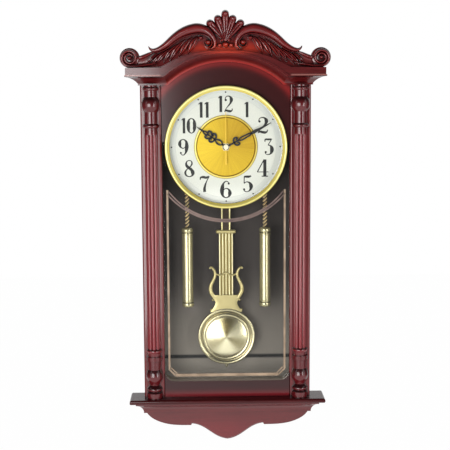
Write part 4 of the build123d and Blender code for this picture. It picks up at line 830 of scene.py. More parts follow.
@dataclass(frozen=True)
class Rolled:
    """A rolled gilt bezel with painted light and shade: a pale painted highlight on the crown, a golden inner
    slope with a painted shade step, a painted olive shade line at its outer foot, and painted shade lower
    down.
    """

    name: str
    crown: float = 88.3
    crown_fade: Place = (-4.4, -1.4)
    step_in: float = 2.2
    step_half: float = 0.6
    foot: float = 90.6
    foot_fade: Place = (-1.4, 0.1)
    lower_fade: Place = (-110.0, 60.0)
    # Painted light and shade: pale crown, step, olive foot and darker lower part.
    pale: Colour = tone(246, 236, 152)
    slope: Colour = tone(214, 190, 62)
    step: Colour = tone(196, 174, 62)
    olive: Colour = tone(120, 106, 30)
    lower: Colour = tone(206, 188, 84)

    def material(self) -> bpy.types.Material:
        """Make the finish: the distance from the dial centre chooses the painted highlight and shade of the
        gilt, and painted shade makes it a little darker lower down.

        Returns:
            The material.
        """
        shader = Shader(self.name)
        fine = shader.noise(260.0, detail=3.0)
        gilt = shader.mix((shader.radius - self.crown).ramp(*self.crown_fade), self.slope, self.pale)
        step = shader.radius.band(self.crown - self.step_in, self.step_half)
        gilt = shader.mix(step * 0.5, gilt, self.step)
        gilt = shader.mix((shader.radius - self.foot).ramp(*self.foot_fade), gilt, self.olive)
        gilt = shader.mix((1.0 - shader.up.ramp(*self.lower_fade)) * 0.4, gilt, self.lower)
        return shader.finish(
            Base_Color=gilt,
            Metallic=0.4,
            Roughness=0.26 + 0.1 * fine,
            Normal=shader.bump(fine, strength=0.02, distance=0.0001),
        )


@dataclass(frozen=True)
class Sweep:
    """A gilt sweep hand with a pale polished boss."""

    name: str
    boss: float = 4.4
    boss_fade: float = 0.6
    pale: Colour = tone(244, 238, 208)
    light: Colour = tone(242, 206, 78)
    dark: Colour = tone(222, 184, 54)

    def material(self) -> bpy.types.Material:
        """Make the finish: the distance from the dial centre parts the boss from the blade.

        Returns:
            The material.
        """
        shader = Shader(self.name)
        fine = shader.noise(200.0, detail=3.0)
        blade = shader.mix(fine, self.light, self.dark)
        past_boss = shader.radius.ramp(self.boss, self.boss + self.boss_fade)
        return shader.finish(
            Base_Color=shader.mix(past_boss, self.pale, blade),
            Metallic=0.35,
            Roughness=0.28 + 0.1 * fine,
        )


@dataclass(frozen=True)
class Enamel:
    """Off-white dial paint with a faint grey ring of painted shade under the numbers' outer ends, a painted
    bezel shadow near the top of the rim and painted light towards the bottom.
    """

    name: str
    ring: float = 78.5
    ring_half: float = 3.2
    ring_fade: float = 0.2
    line_half: float = 0.22
    # Painted bezel shadow near the top of the rim, and painted light towards the bottom.
    upper_radius: Place = (66.0, 84.0)
    upper_fade: Place = (-40.0, 20.0)
    lower_fade: Place = (-84.0, -50.0)
    light: Colour = tone(217, 220, 209)
    dark: Colour = tone(206, 210, 198)
    upper: Colour = tone(196, 203, 200)
    lower: Colour = tone(243, 246, 236)
    tint: Colour = tone(190, 197, 194)
    line: Colour = tone(150, 156, 150)

    def material(self) -> bpy.types.Material:
        """Make the finish: two fine circles with a faint painted shade between them, a slight speckle, a
        painted bezel shadow near the top of the rim and painted light towards the bottom.

        Returns:
            The material.
        """
        shader = Shader(self.name)
        off_ring = abs(shader.radius - self.ring)
        speck = shader.noise(900.0, detail=2.0)
        paint = shader.mix(speck.ramp(0.35, 0.8) * 0.4, self.light, self.dark)
        # Painted bezel shadow, then painted light towards the bottom.
        bezel_shadow = shader.radius.ramp(*self.upper_radius) * shader.up.ramp(*self.upper_fade)
        paint = shader.mix(bezel_shadow * 0.3, paint, self.upper)
        paint = shader.mix(1.0 - shader.up.ramp(*self.lower_fade), paint, self.lower)
        # Painted shade ring with two fine circles at its edges.
        inside = 1.0 - off_ring.ramp(self.ring_half - self.ring_fade, self.ring_half)
        paint = shader.mix(inside * 0.2, paint, self.tint)
        paint = shader.mix(off_ring.band(self.ring_half, self.line_half) * 0.45, paint, self.line)
        return shader.finish(
            Base_Color=paint,
            Roughness=0.32 + 0.1 * speck,
            Normal=shader.bump(speck, strength=0.04, distance=0.0002),
            Coat_Weight=0.25,
        )


@dataclass(frozen=True)
class Moulded:
    """Moulded plastic, paint or print: two near tones over a fine pebble."""

    name: str
    light: Colour
    dark: Colour
    rough: float = 0.42
    pebble: float = 1400.0

    def material(self) -> bpy.types.Material:
        """Make the finish: fine noise for the pebble, slow noise for uneven colour.

        Returns:
            The material.
        """
        shader = Shader(self.name)
        fine = shader.noise(self.pebble, detail=2.0)
        slow = shader.noise(60.0, detail=2.0)
        return shader.finish(
            Base_Color=shader.mix(slow.ramp(0.3, 0.7), self.light, self.dark),
            Roughness=self.rough + 0.14 * fine,
            Normal=shader.bump(fine, strength=0.12, distance=0.0002),
        )


@dataclass(frozen=True)
class Pane:
    """Clear glass: see-through, with a mirror share that grows at a slant and a trace of dust."""

    name: str
    haze: float
    straight_on: float = 0.01
    slant_power: float = 5.0
    clear: Colour = (0.95, 0.96, 0.95, 1.0)

    def material(self) -> bpy.types.Material:
        """Make the finish: its alpha is the share that reflects, the slant's fifth power and some dust.

        Returns:
            The material.
        """
        shader = Shader(self.name)
        slant = shader.wire("ShaderNodeLayerWeight", {}, {"Blend": 0.5}, "Facing")
        dust = shader.noise(30.0, detail=4.0)
        mirror = self.straight_on + (1.0 - self.straight_on) * slant**self.slant_power
        return shader.finish(
            Base_Color=self.clear,
            Alpha=mirror + self.haze * dust,
            Metallic=1.0,
            Roughness=0.03 + 0.05 * dust,
        )


@dataclass(frozen=True)
class Fibreboard:
    """Pressed fibreboard: brown and felted at the back, dark painted inside with a joint line, with painted
    shade darker towards the top and painted light at the foot.
    """

    name: str
    seam: float = -334.0
    seam_half: float = 3.2
    seam_power: float = 4.0
    paint_depth: Place = (1.5, 2.5)
    paint_fade: Place = (-352.0, -180.0)
    foot_fade: Place = (-374.0, -354.0)
    fibre_dark: Colour = tone(104, 76, 52)
    fibre_light: Colour = tone(142, 108, 76)
    stain: Colour = tone(96, 70, 50)
    # Painted shade grades the inside darker towards the top, and foot is painted light at the very foot.
    paint_low: Colour = tone(136, 130, 119)
    paint_high: Colour = tone(54, 48, 44)
    fleck: Colour = tone(60, 57, 54)
    foot: Colour = tone(186, 177, 163)
    joint: Colour = tone(6, 6, 6)

    def material(self) -> bpy.types.Material:
        """Make the finish: the depth in the board chooses brown fibre or dark paint.

        Returns:
            The material.
        """
        shader = Shader(self.name)
        fibre = shader.noise((700.0, 700.0, 180.0), detail=5.0, rough=0.7)
        cloud = shader.noise(22.0, detail=3.0)
        brown = shader.mix(fibre.ramp(0.3, 0.7), self.fibre_dark, self.fibre_light)
        brown = shader.mix(cloud.ramp(0.4, 0.7) * 0.35, brown, self.stain)
        # Painted shade darker towards the top.
        paint = shader.mix(shader.up.ramp(*self.paint_fade), self.paint_low, self.paint_high)
        paint = shader.mix(fibre.ramp(0.4, 0.8) * 0.12, paint, self.fleck)
        # Painted light at the foot.
        paint = shader.mix(1.0 - shader.up.ramp(*self.foot_fade), paint, self.foot)
        paint = shader.mix(shader.up.band(self.seam, self.seam_half, self.seam_power), paint, self.joint)
        return shader.finish(
            Base_Color=shader.mix(shader.depth.ramp(*self.paint_depth), brown, paint),
            Roughness=0.62 + 0.2 * fibre,
            Normal=shader.bump(fibre, strength=0.25, distance=0.0003),
        )


@dataclass(frozen=True)
class Laminate:
    """Green circuit laminate with fine copper tracks under its varnish."""

    name: str
    track_waves: Place = (2.4, 1.7)
    board: Colour = tone(26, 84, 46)
    track: Colour = tone(64, 128, 76)

    def material(self) -> bpy.types.Material:
        """Make the finish: waves across and up the board stand for its tracks.

        Returns:
            The material.
        """
        shader = Shader(self.name)
        beside, over = self.track_waves
        tracks = (shader.across * beside).sine() * (shader.up * over).sine()
        fine = shader.noise(600.0, detail=2.0)
        return shader.finish(
            Base_Color=shader.mix(tracks.ramp(0.2, 0.5), self.board, self.track),
            Roughness=0.3 + 0.15 * fine,
            Normal=shader.bump(tracks, strength=0.15, distance=0.0002),
            Coat_Weight=0.4,
        )


@dataclass(frozen=True)
class Jacket:
    """A plain battery jacket: dark body, copper-coloured end and bright steel button."""

    name: str
    end_across: float = 14.0
    end_fade: float = 0.4
    button_across: float = 25.2
    button_fade: float = 0.2
    light: Colour = tone(40, 41, 45)
    dark: Colour = tone(30, 31, 34)
    end: Colour = tone(190, 120, 60)
    button: Colour = tone(196, 198, 200)

    def material(self) -> bpy.types.Material:
        """Make the finish: the place along the cell chooses its three colours.

        Returns:
            The material.
        """
        shader = Shader(self.name)
        fine = shader.noise(400.0, detail=2.0)
        past_end = shader.across.ramp(self.end_across, self.end_across + self.end_fade)
        past_button = shader.across.ramp(self.button_across, self.button_across + self.button_fade)
        body = shader.mix(past_end, shader.mix(fine, self.dark, self.light), self.end)
        return shader.finish(
            Base_Color=shader.mix(past_button, body, self.button),
            Metallic=0.25 + 0.6 * past_end,
            Roughness=0.28 + 0.1 * fine,
            Coat_Weight=0.3,
        )


Finish = Union[
    Lacquer, Metal, Sunburst, Spun, Gridiron, Rolled, Sweep,
    Enamel, Moulded, Pane, Fibreboard, Laminate, Jacket,
]

# Metals
BRASS = Metal(
    "polished_brass", tone(246, 240, 200), tone(214, 200, 146), rough=0.07, brushed=(120.0, 900.0, 900.0)
)
STEEL = Metal("bright_steel", tone(205, 206, 208), tone(150, 150, 152), rough=0.24)
COPPER = Metal(
    "copper_wire", tone(206, 120, 72), tone(140, 72, 40), rough=0.3, brushed=(60.0, 60.0, 2400.0)
)
PALE_GILT = Metal(
    "pale_gilt", tone(244, 232, 184), tone(226, 208, 140), rough=0.3, brushed=200.0, metallic=0.35
)
# The crevice numbers below paint shade into crevices.
TUBE_BRASS = Metal(
    "tube_brass", tone(184, 177, 138), tone(154, 146, 100), rough=0.18, brushed=(30.0, 30.0, 4.0),
    metallic=0.66, wear=0.2, crevice=0.0022,
)
CHAIN_BRASS = Metal(
    "chain_brass", tone(226, 204, 150), tone(184, 136, 84), rough=0.28, brushed=300.0,
    metallic=0.4, wear=0.5, crevice=0.009,
)
LYRE_BRASS = Metal(
    "lyre_brass", tone(196, 184, 130), tone(156, 142, 90), rough=0.3, brushed=(90.0, 90.0, 30.0),
    metallic=0.6, wear=0.6, crevice=0.004,
)
ROD_BRASS = Metal(
    "rod_brass", tone(226, 216, 158), tone(196, 184, 118), rough=0.26, brushed=(60.0, 60.0, 10.0),
    metallic=0.6, wear=0.45, crevice=0.003,
)
BOB_BRASS = Spun("bob_brass", centre_up=-297.0)
GRID_BRASS = Gridiron("grid_brass")
GILT = Rolled("gilt_bezel")
SWEEP_GILT = Sweep("sweep_gilt")
SUNBURST = Sunburst("sunburst_gold")

# Paint, print, plastic, glass and board
ENAMEL = Enamel("dial_enamel")
BLACK = Moulded("satin_black", tone(14, 16, 14), tone(24, 26, 23), rough=0.4)
BRONZE = Moulded("bronze_print", tone(124, 102, 94), tone(100, 80, 74), rough=0.45)
BEIGE = Moulded("beige_print", tone(176, 152, 126), tone(140, 118, 96), rough=0.45)
# A dark brown strip between the pendulum's rods stands in for the shade there.
ROD_GAP_SHADE = Moulded("rod_gap_shade", tone(54, 38, 12), tone(38, 26, 8), rough=0.6)
MOVEMENT = Moulded("black_moulding", tone(22, 22, 24), tone(32, 32, 34), rough=0.5, pebble=1800.0)
WHEEL = Moulded("white_moulding", tone(228, 226, 216), tone(214, 210, 198), rough=0.4)
WINDOW = Pane("window_glass_clear", haze=0.008)
LENS = Pane("lens_glass_clear", haze=0.005)
FIBRE = Fibreboard("back_fibreboard")
CIRCUIT = Laminate("circuit_laminate")
JACKET = Jacket("battery_wrap")

# Lacquered wood, with painted shade in crevices and on upward faces
CREST_WOOD = Lacquer(
    "crest_lacquer", figure=0.3, dark=tone(70, 13, 15), red=tone(134, 34, 34),
    glow_share=1.0, glow_up=143.5, glow_wide=46.0, glow_high=8.5,
)
# The cornice carries the painted highlight and shadow lines.
CORNICE_WOOD = Lacquer(
    "cornice_lacquer", figure=0.3, glow_share=0.75, glow_up=141.0, glow_wide=42.0, glow_high=5.0,
    lip_share=0.75, lip_radius=126.0, bead_up=105.6,
)
ARCH_WOOD = Lacquer(
    "arch_lacquer", figure=0.1, dark=tone(44, 8, 10), red=tone(62, 14, 15),
    lip=tone(138, 30, 30), lip_share=0.75, lip_radius=125.0, lip_width=6.0, coat=0.75,
)
CASE_WOOD = Lacquer("case_lacquer", Grain.UPRIGHT, figure=0.3, shaded_top=0.1)
STILE_WOOD = Lacquer(
    "stile_lacquer", Grain.UPRIGHT, figure=0.2, dark=tone(84, 13, 17), red=tone(118, 24, 28),
)
# The rail's pale shade colour is painted light on its upward faces.
RAIL_WOOD = Lacquer(
    "rail_lacquer", figure=0.2, dark=tone(36, 9, 11), red=tone(60, 16, 18), shade=tone(160, 148, 136),
    glow=tone(118, 17, 27), glow_share=0.8, glow_up=-380.0, glow_wide=400.0, glow_high=7.0, coat=0.7,
)
# Columns: painted shade on the turned ends, in crevices and on upward faces.
COLUMN_WOOD = Lacquer(
    "column_lacquer", Grain.UPRIGHT, figure=0.2, dark=tone(98, 19, 25), red=tone(150, 37, 44),
    turned_share=0.6, crevice=0.003, shaded_from=-0.1,
)
SHELF_WOOD = Lacquer(
    "shelf_lacquer", figure=0.3, dark=tone(42, 6, 8), red=tone(82, 14, 17), shaded_top=0.35, coat=0.4,
)
BASE_WOOD = Lacquer(
    "base_lacquer", figure=0.3, dark=tone(70, 18, 20), red=tone(108, 32, 34),
    glow=tone(138, 36, 42), glow_share=0.3, glow_up=-436.0, glow_wide=70.0, glow_high=18.0,
)


class Workshop:
    """Keeps the finishes that are made and puts pieces into the clock."""

    def __init__(self) -> None:
        """Start with no finish made."""
        self.made: dict[str, bpy.types.Material] = {}

    def finish(self, finish: Finish) -> bpy.types.Material:
        """Make a finish the first time it is asked for.

        Args:
            finish: The finish.

        Returns:
            Its material.
        """
        if finish.name not in self.made:
            self.made[finish.name] = finish.material()
        return self.made[finish.name]

    def dress(self, finish: Finish, *nodes: str) -> None:
        """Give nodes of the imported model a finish.

        Args:
            finish: The finish.
            nodes: Names of the nodes.
        """
        for node in nodes:
            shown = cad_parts[node]
            shown.data.materials.clear()
            shown.data.materials.append(self.finish(finish))
            LOG.info("dressed %s", node)

    def fit(
        self,
        work: Patchwork,
        name: str,
        finish: Finish,
        body: str,
        nodes: Sequence[str] = (),
        sharp: float = SHARP,
    ) -> None:
        """Build a piece and fit it to a body.

        Args:
            work: Its surfaces.
            name: Name of the piece.
            finish: Its finish.
            body: Body it moves with.
            nodes: Nodes it stands for.
            sharp: Angle past which an edge stays sharp.
        """
        made = work.build(name, sharp)
        made.data.materials.append(self.finish(finish))
        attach(made, body)
        if nodes:
            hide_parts(*nodes)
        LOG.info("built %s, %d faces", name, len(made.data.polygons))


@dataclass
class Crest:
    """The carved crest: ground, swan-neck rolls, scrolls, acanthus fronds and a shell."""

    back: float = 56.0
    ground: float = 69.0
    hollow: float = 2.6
    hollow_power: float = 0.6
    edge_drop: float = 1.2
    wall: float = 10.0
    edge_points: int = 110
    brow_points: int = 80
    rise_points: int = 20
    edge: tuple[Place, ...] = (
        (0, 186), (12, 183), (24, 176), (32, 174), (42, 176.5), (52, 174.6), (62, 170), (72, 163.6),
        (81, 155.6), (90, 149), (99, 144), (108, 139.4), (116, 135.6), (123, 132.4), (130, 130),
    )
    brow: tuple[Place, ...] = (
        (0.0, 140.7), (19.9, 140.2), (39.6, 138.0), (58.9, 133.3), (77.3, 125.6), (95.0, 116.7),
    )
    roll: tuple[Station, ...] = (
        (112.6, 148.0, 0.5, 0.8), (110.4, 144.6, 1.6, 3.0), (106.4, 142.4, 2.7, 4.0),
        (101.4, 142.6, 3.4, 4.6), (95.6, 144.8, 4.0, 5.2), (90.0, 148.0, 4.6, 5.6), (84.0, 152.4, 5.2, 6.2),
        (77.4, 158.0, 5.8, 6.8), (69.6, 163.8, 6.4, 7.2), (60.4, 168.8, 7.1, 7.6), (50.4, 172.2, 7.6, 7.8),
        (40.0, 173.6, 7.6, 7.8), (31.0, 171.8, 6.9, 7.6), (24.0, 167.2, 5.6, 7.2), (18.8, 161.2, 4.2, 6.6),
        (15.6, 154.4, 3.1, 6.0), (16.0, 148.2, 2.3, 5.2), (19.4, 144.8, 1.5, 4.0), (24.0, 143.6, 0.7, 2.4),
    )
    roll_seat: float = 1.0
    roll_points: int = 150
    bead: tuple[Station, ...] = (
        (108.4, 138.8, 0.5, 2.6), (97.0, 139.6, 0.9, 4.0), (86.4, 144.0, 1.1, 4.6), (76.6, 151.8, 1.2, 5.0),
        (65.0, 159.4, 1.2, 5.2), (53.0, 163.8, 1.2, 5.4), (41.0, 165.6, 1.2, 5.6), (31.6, 164.8, 1.2, 6.0),
        (24.4, 161.6, 1.2, 6.2), (20.2, 156.0, 1.2, 6.0), (20.4, 149.8, 1.1, 5.4), (24.6, 146.6, 1.0, 4.6),
        (29.6, 148.2, 0.8, 3.8), (31.6, 152.6, 0.5, 2.6),
    )
    bead_seat: float = 0.8
    bead_sink: float = 1.2
    wing: tuple[Station, ...] = (
        (104, 140.4, 0.8, 1.6), (111, 137.4, 2.4, 4.0), (118, 134.2, 3.0, 4.6), (125, 131.6, 3.0, 4.6),
        (130, 131, 1.6, 3.0),
    )
    wing_seat: float = 1.4
    wing_points: int = 60
    balls: tuple[Station, ...] = (
        (25.4, 153.6, 4.4, 1.0, 7.4), (36.2, 160.0, 3.5, 2.0, 6.2), (140.5, 131.4, 3.6, 1.0, 6.0),
    )
    ball_sink: float = 1.0
    volute: Place = (140.5, 131.4)
    volute_radius: float = 15.0
    volute_start: float = -100.0
    volute_turn: float = 610.0
    spiral_outer: Station = (12.3, 2.7, 5.4)
    spiral_inner: Station = (5.0, 1.8, 4.8)
    spiral_points: int = 30
    band_points: int = 170
    disc_steps: int = 64
    volute_lead: tuple[Station, ...] = (
        (101, 123.6, 0.6, 1.4), (109, 122.4, 1.7, 3.4), (118, 121.0, 2.4, 4.6), (128, 119.4, 2.7, 5.2),
    )
    leaves: tuple[tuple[Place, Place, Place, Place, float], ...] = (
        ((39.0, 162.0), (44.6, 156.6), (50.0, 147.4), (54.8, 136.6), 5.0),
        ((48.0, 161.0), (56.0, 152.6), (63.0, 142.4), (68.4, 132.4), 4.6),
        ((58.0, 157.6), (67.6, 148.6), (75.6, 138.4), (81.6, 126.8), 4.4),
        ((67.4, 151.6), (76.4, 144.2), (84.4, 135.6), (90.6, 124.4), 4.0),
        ((77.0, 146.0), (86.8, 139.0), (95.0, 131.4), (101.4, 121.4), 3.8),
        ((87.0, 141.4), (95.4, 135.2), (102.4, 128.6), (108.4, 120.6), 3.4),
        ((97.6, 138.6), (104.2, 134.4), (109.6, 129.4), (115.0, 122.6), 2.8),
    )
    leaf_shape: tuple[Place, ...] = ((0.35, 2.4), (0.9, 6.2), (1.0, 6.8), (0.2, 2.6))
    leaf_seat: float = 2.8
    leaf_sink: float = 1.0
    leaf_points: int = 44
    shell_foot: Place = (0.0, 155.0)
    shell_heads: tuple[Place, ...] = (
        (-22.4, 181.0), (22.4, 181.0), (-11.0, 187.4), (11.0, 187.4), (0.0, 194.6),
    )
    shell_rib: tuple[Station, ...] = (
        (0.0, 1.6, 3.4), (0.3, 3.0, 4.8), (0.65, 5.2, 5.8), (0.9, 5.9, 6.2), (1.0, 5.8, 6.0),
    )
    rib_seat: float = 1.0
    rib_sink: float = 11.0
    rib_points: int = 34
    head_radius: float = 5.8
    head_seat: float = 3.5
    head_height: float = 10.2
    head_sink: float = 9.0
    buds: tuple[Station, ...] = (
        (0.0, 150.4, 4.6), (-8.2, 149.4, 3.4), (8.2, 149.4, 3.4), (-5.0, 156.6, 2.8), (5.0, 156.6, 2.8),
    )
    bud_seat: float = 1.0
    bud_rise: float = 1.8
    bud_sink: float = 3.0

    def ground_board(self) -> np.ndarray:
        """Make the ground the carving stands on.

        Across the crest, a loop goes from the lower edge, which follows the brow
        over the arch and then the cornice's level top, over a hollow front to the
        upper edge, a smooth curve, and back behind.

        Returns:
            A grid that closes round its second side.
        """
        edge = flowing(self.edge, self.edge_points)
        brow = flowing(self.brow, self.brow_points)
        across = np.concatenate((-edge[:0:-1, 0], edge[:, 0]))
        high = np.concatenate((edge[:0:-1, 1], edge[:, 1]))
        low = np.interp(np.abs(across), brow[:, 0], brow[:, 1])
        rise = np.linspace(0.0, 1.0, self.rise_points)
        up = low[:, None] + (high - low)[:, None] * rise
        depth = self.ground - self.hollow * np.sin(math.pi * rise) ** self.hollow_power * np.ones_like(up)
        depth[:, (0, -1)] -= self.edge_drop
        behind_up = np.stack((high, low), axis=1)
        behind = np.full_like(behind_up, self.back)
        return closed(spot(across[:, None], np.hstack((depth, behind)), np.hstack((up, behind_up))))

    def scrolls(self, mirror: float) -> list[np.ndarray]:
        """Carry the broad roll along the upper edge and round the scroll, its bead and the wing's ridge.

        Args:
            mirror: -1 for the left half, 1 for the right.

        Returns:
            Grids of the roll, the bead, the ridge and the balls of the scroll, leaf end and volute.
        """
        lines = (
            (self.roll, self.roll_seat, self.roll_points, self.wall),
            (self.bead, self.bead_seat, self.roll_points, self.bead_sink),
            (self.wing, self.wing_seat, self.wing_points, self.wall),
        )
        made = [
            carried(line, Section.ROUND, self.ground - seat, count, sink, mirror)
            for line, seat, count, sink in lines
        ]
        for across, up, radius, seat, height in self.balls:
            made.append(knob((mirror * across, up), radius, self.ground - seat, height, self.ball_sink))
        return made

    def end_volute(self, mirror: float) -> list[np.ndarray]:
        """Make an end volute: a disc, and a band that runs in along the wing's foot and winds up.

        The band winds in at an even rate, and its width and height shrink evenly.

        Args:
            mirror: -1 for the left half, 1 for the right.

        Returns:
            The two grids.
        """
        centre = (mirror * self.volute[0], self.volute[1])
        reach = self.volute_radius
        disc = (
            (0.0, self.back), (reach - 1.5, self.back), (reach - 0.4, self.back + 2.0),
            (reach - 0.4, self.ground - 2.0), (reach - 2.0, self.ground - 0.4), (0.0, self.ground - 0.8),
        )
        turn = np.radians(self.volute_start + np.linspace(0.0, self.volute_turn, self.spiral_points))
        radius, half, height = np.linspace(self.spiral_outer, self.spiral_inner, self.spiral_points).T
        across = self.volute[0] + radius * np.cos(turn)
        up = self.volute[1] + radius * np.sin(turn)
        stations = np.vstack((self.volute_lead, np.column_stack((across, up, half, height))))
        base = self.ground - self.bead_seat
        return [
            turned(disc, Axis.DEPTH, centre, self.disc_steps),
            carried(stations, Section.ROUND, base, self.band_points, self.bead_sink, mirror),
        ]

    def fronds(self, mirror: float) -> list[np.ndarray]:
        """Make the acanthus fronds: bent tapered ridges with a vein, their tips turned down.

        Args:
            mirror: -1 for the left half, 1 for the right.

        Returns:
            A grid for each frond.
        """
        made = []
        base = self.ground - self.leaf_seat
        for *places, half in self.leaves:
            rows = zip(places, self.leaf_shape)
            stations = [(*place, half * share, height) for place, (share, height) in rows]
            made.append(carried(stations, Section.CREASED, base, self.leaf_points, self.leaf_sink, mirror))
        return made

    def shell(self) -> list[np.ndarray]:
        """Make the shell: broad ribs that fan out from a foot, each ending in a round head, and buds below.

        Returns:
            Grids of the ribs, heads and buds.
        """
        made = []
        foot = np.array(self.shell_foot)
        rib_base = self.ground - self.rib_seat
        head_base = self.ground - self.head_seat
        bud_base = self.ground - self.bud_seat
        for head in self.shell_heads:
            run = np.array(head) - foot
            rib = [(*(foot + run * share), half, height) for share, half, height in self.shell_rib]
            made.append(carried(rib, Section.CREASED, rib_base, self.rib_points, self.rib_sink))
            made.append(knob(head, self.head_radius, head_base, self.head_height, self.head_sink))
        for across, up, radius in self.buds:
            made.append(knob((across, up), radius, bud_base, radius + self.bud_rise, self.bud_sink))
        return made

    def make(self, shop: Workshop) -> None:
        """Build the crest as one carved piece.

        Args:
            shop: Workshop that fits it.
        """
        grids = [self.ground_board()]
        for mirror in (-1.0, 1.0):
            grids += self.scrolls(mirror) + self.end_volute(mirror) + self.fronds(mirror)
        work = Patchwork(grids + self.shell())
        shop.fit(work, "crest_carving", CREST_WOOD, "case", ("crest",), 48.0)


@dataclass
class Woodwork:
    """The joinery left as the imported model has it: cornice, frame, columns, base and box."""

    cornice: tuple[str, ...] = ("cornice_arch", "cornice_end_left", "cornice_end_right")
    columns: tuple[str, ...] = ("column_left", "column_right")
    base: tuple[str, ...] = ("base_cove", "apron")
    stiles: tuple[str, ...] = ("stile_left", "stile_right")
    box: tuple[str, ...] = ("case_side_left", "case_side_right", "case_top_board")
    boards: tuple[str, ...] = ("back_board", "case_floor_board")
    fittings: tuple[str, ...] = ("hanger_plate", "case_screws", "glass_clips")

    def make(self, shop: Workshop) -> None:
        """Dress the joinery.

        Args:
            shop: Workshop that dresses it.
        """
        shop.dress(CORNICE_WOOD, *self.cornice)
        shop.dress(COLUMN_WOOD, *self.columns)
        shop.dress(BASE_WOOD, *self.base)
        shop.dress(CASE_WOOD, *self.box)
        shop.dress(STILE_WOOD, *self.stiles)
        shop.dress(RAIL_WOOD, "bottom_rail")
        shop.dress(ARCH_WOOD, "arch_panel")
        shop.dress(SHELF_WOOD, "base_shelf")
        shop.dress(FIBRE, *self.boards)
        shop.dress(STEEL, *self.fittings)


THICK = 0.108
THIN = 0.027
FIGURE_MIDDLE = 0.5


@dataclass(frozen=True)
class Figure:
    """A dial number's figure: strokes as rows of across, up and half width, and ball ends."""

    strokes: tuple[tuple[Station, ...], ...]
    balls: tuple[Station, ...] = ()
    wide: float = 0.62


FIGURES = {
    "0": Figure(
        (
            (
                (0.0, 0.985, THIN), (0.14, 0.9, 0.05), (0.2, 0.66, THICK), (0.21, 0.5, THICK),
                (0.2, 0.34, THICK), (0.14, 0.1, 0.05), (0.0, 0.015, THIN), (-0.14, 0.1, 0.05),
                (-0.2, 0.34, THICK), (-0.21, 0.5, THICK), (-0.2, 0.66, THICK), (-0.14, 0.9, 0.05),
                (0.0, 0.985, THIN),
            ),
        ),
    ),
    "1": Figure(
        (
            ((0.0, 0.0, 0.085), (0.0, 1.0, 0.085)),
            ((-0.16, 0.86, 0.02), (-0.07, 0.93, 0.045)),
        ),
        wide=0.36,
    ),
    "2": Figure(
        (
            (
                (-0.21, 0.74, 0.03), (-0.19, 0.88, 0.024), (-0.06, 0.985, THIN), (0.1, 0.95, 0.05),
                (0.19, 0.78, THICK), (0.14, 0.58, 0.062), (-0.01, 0.38, 0.036), (-0.16, 0.2, 0.022),
                (-0.25, 0.03, THIN),
            ),
            (
                (-0.25, 0.02, THIN), (-0.16, 0.1, 0.055), (-0.02, 0.07, 0.07), (0.12, 0.05, 0.07),
                (0.22, 0.09, 0.04), (0.25, 0.22, THIN),
            ),
        ),
        ((-0.17, 0.74, 0.07),),
    ),
    "3": Figure(
        (
            ((-0.22, 0.8, THIN), (-0.2, 0.94, 0.042), (0.0, 0.945, 0.06), (0.2, 0.965, 0.04)),
            ((0.2, 0.97, THIN), (0.09, 0.79, THIN), (-0.03, 0.6, THIN)),
            (
                (-0.03, 0.6, THIN), (0.1, 0.57, 0.04), (0.2, 0.42, THICK), (0.2, 0.22, THICK),
                (0.1, 0.05, 0.04), (-0.05, 0.015, THIN), (-0.17, 0.06, 0.022), (-0.21, 0.17, 0.03),
            ),
        ),
        ((-0.17, 0.17, 0.066),),
    ),
    "4": Figure(
        (
            ((0.1, 0.0, 0.085), (0.1, 1.0, 0.085)),
            ((0.06, 0.99, THIN), (-0.1, 0.64, THIN), (-0.27, 0.27, THIN)),
            ((-0.28, 0.27, 0.02), (0.28, 0.27, 0.02)),
            ((-0.06, 0.016, THIN), (0.26, 0.016, THIN)),
        ),
    ),
    "5": Figure(
        (
            ((-0.16, 0.94, 0.045), (0.0, 0.93, 0.066), (0.12, 0.94, 0.06), (0.21, 0.98, 0.03)),
            ((-0.16, 0.96, THIN), (-0.165, 0.75, THIN), (-0.17, 0.52, THIN)),
            (
                (-0.17, 0.52, THIN), (-0.04, 0.61, 0.025), (0.11, 0.56, 0.05), (0.2, 0.36, THICK),
                (0.16, 0.14, 0.06), (0.03, 0.015, 0.022), (-0.12, 0.03, THIN), (-0.21, 0.15, 0.03),
            ),
        ),
        ((-0.17, 0.15, 0.066),),
    ),
    "6": Figure(
        (
            (
                (0.16, 0.86, THIN), (0.1, 0.96, 0.024), (0.0, 0.99, THIN), (-0.13, 0.88, 0.045),
                (-0.21, 0.62, THICK), (-0.23, 0.36, THICK), (-0.16, 0.1, 0.055), (0.0, 0.015, THIN),
                (0.15, 0.09, 0.05), (0.21, 0.28, THICK), (0.16, 0.48, 0.055), (0.02, 0.57, THIN),
                (-0.13, 0.49, THIN), (-0.2, 0.34, THIN),
            ),
        ),
        ((0.15, 0.85, 0.062),),
    ),
    "7": Figure(
        (
            (
                (-0.24, 0.76, THIN), (-0.22, 0.9, 0.045), (-0.1, 0.93, 0.07), (0.08, 0.9, 0.066),
                (0.24, 0.98, 0.035),
            ),
            (
                (0.24, 0.98, THIN), (0.11, 0.7, 0.028), (0.02, 0.42, 0.055), (-0.02, 0.18, 0.078),
                (-0.01, 0.0, 0.08),
            ),
        ),
    ),
    "8": Figure(
        (
            (
                (0.0, 0.54, 0.075), (-0.12, 0.65, 0.08), (-0.16, 0.79, 0.055), (-0.1, 0.94, 0.028),
                (0.02, 0.985, THIN), (0.13, 0.93, 0.03), (0.16, 0.8, 0.045), (0.1, 0.66, 0.036),
                (0.0, 0.55, 0.03), (-0.14, 0.42, 0.036), (-0.21, 0.25, 0.06), (-0.15, 0.08, 0.045),
                (0.0, 0.015, THIN), (0.16, 0.08, 0.05), (0.2, 0.24, THICK), (0.13, 0.41, 0.085),
                (0.0, 0.54, 0.075),
            ),
        ),
    ),
}


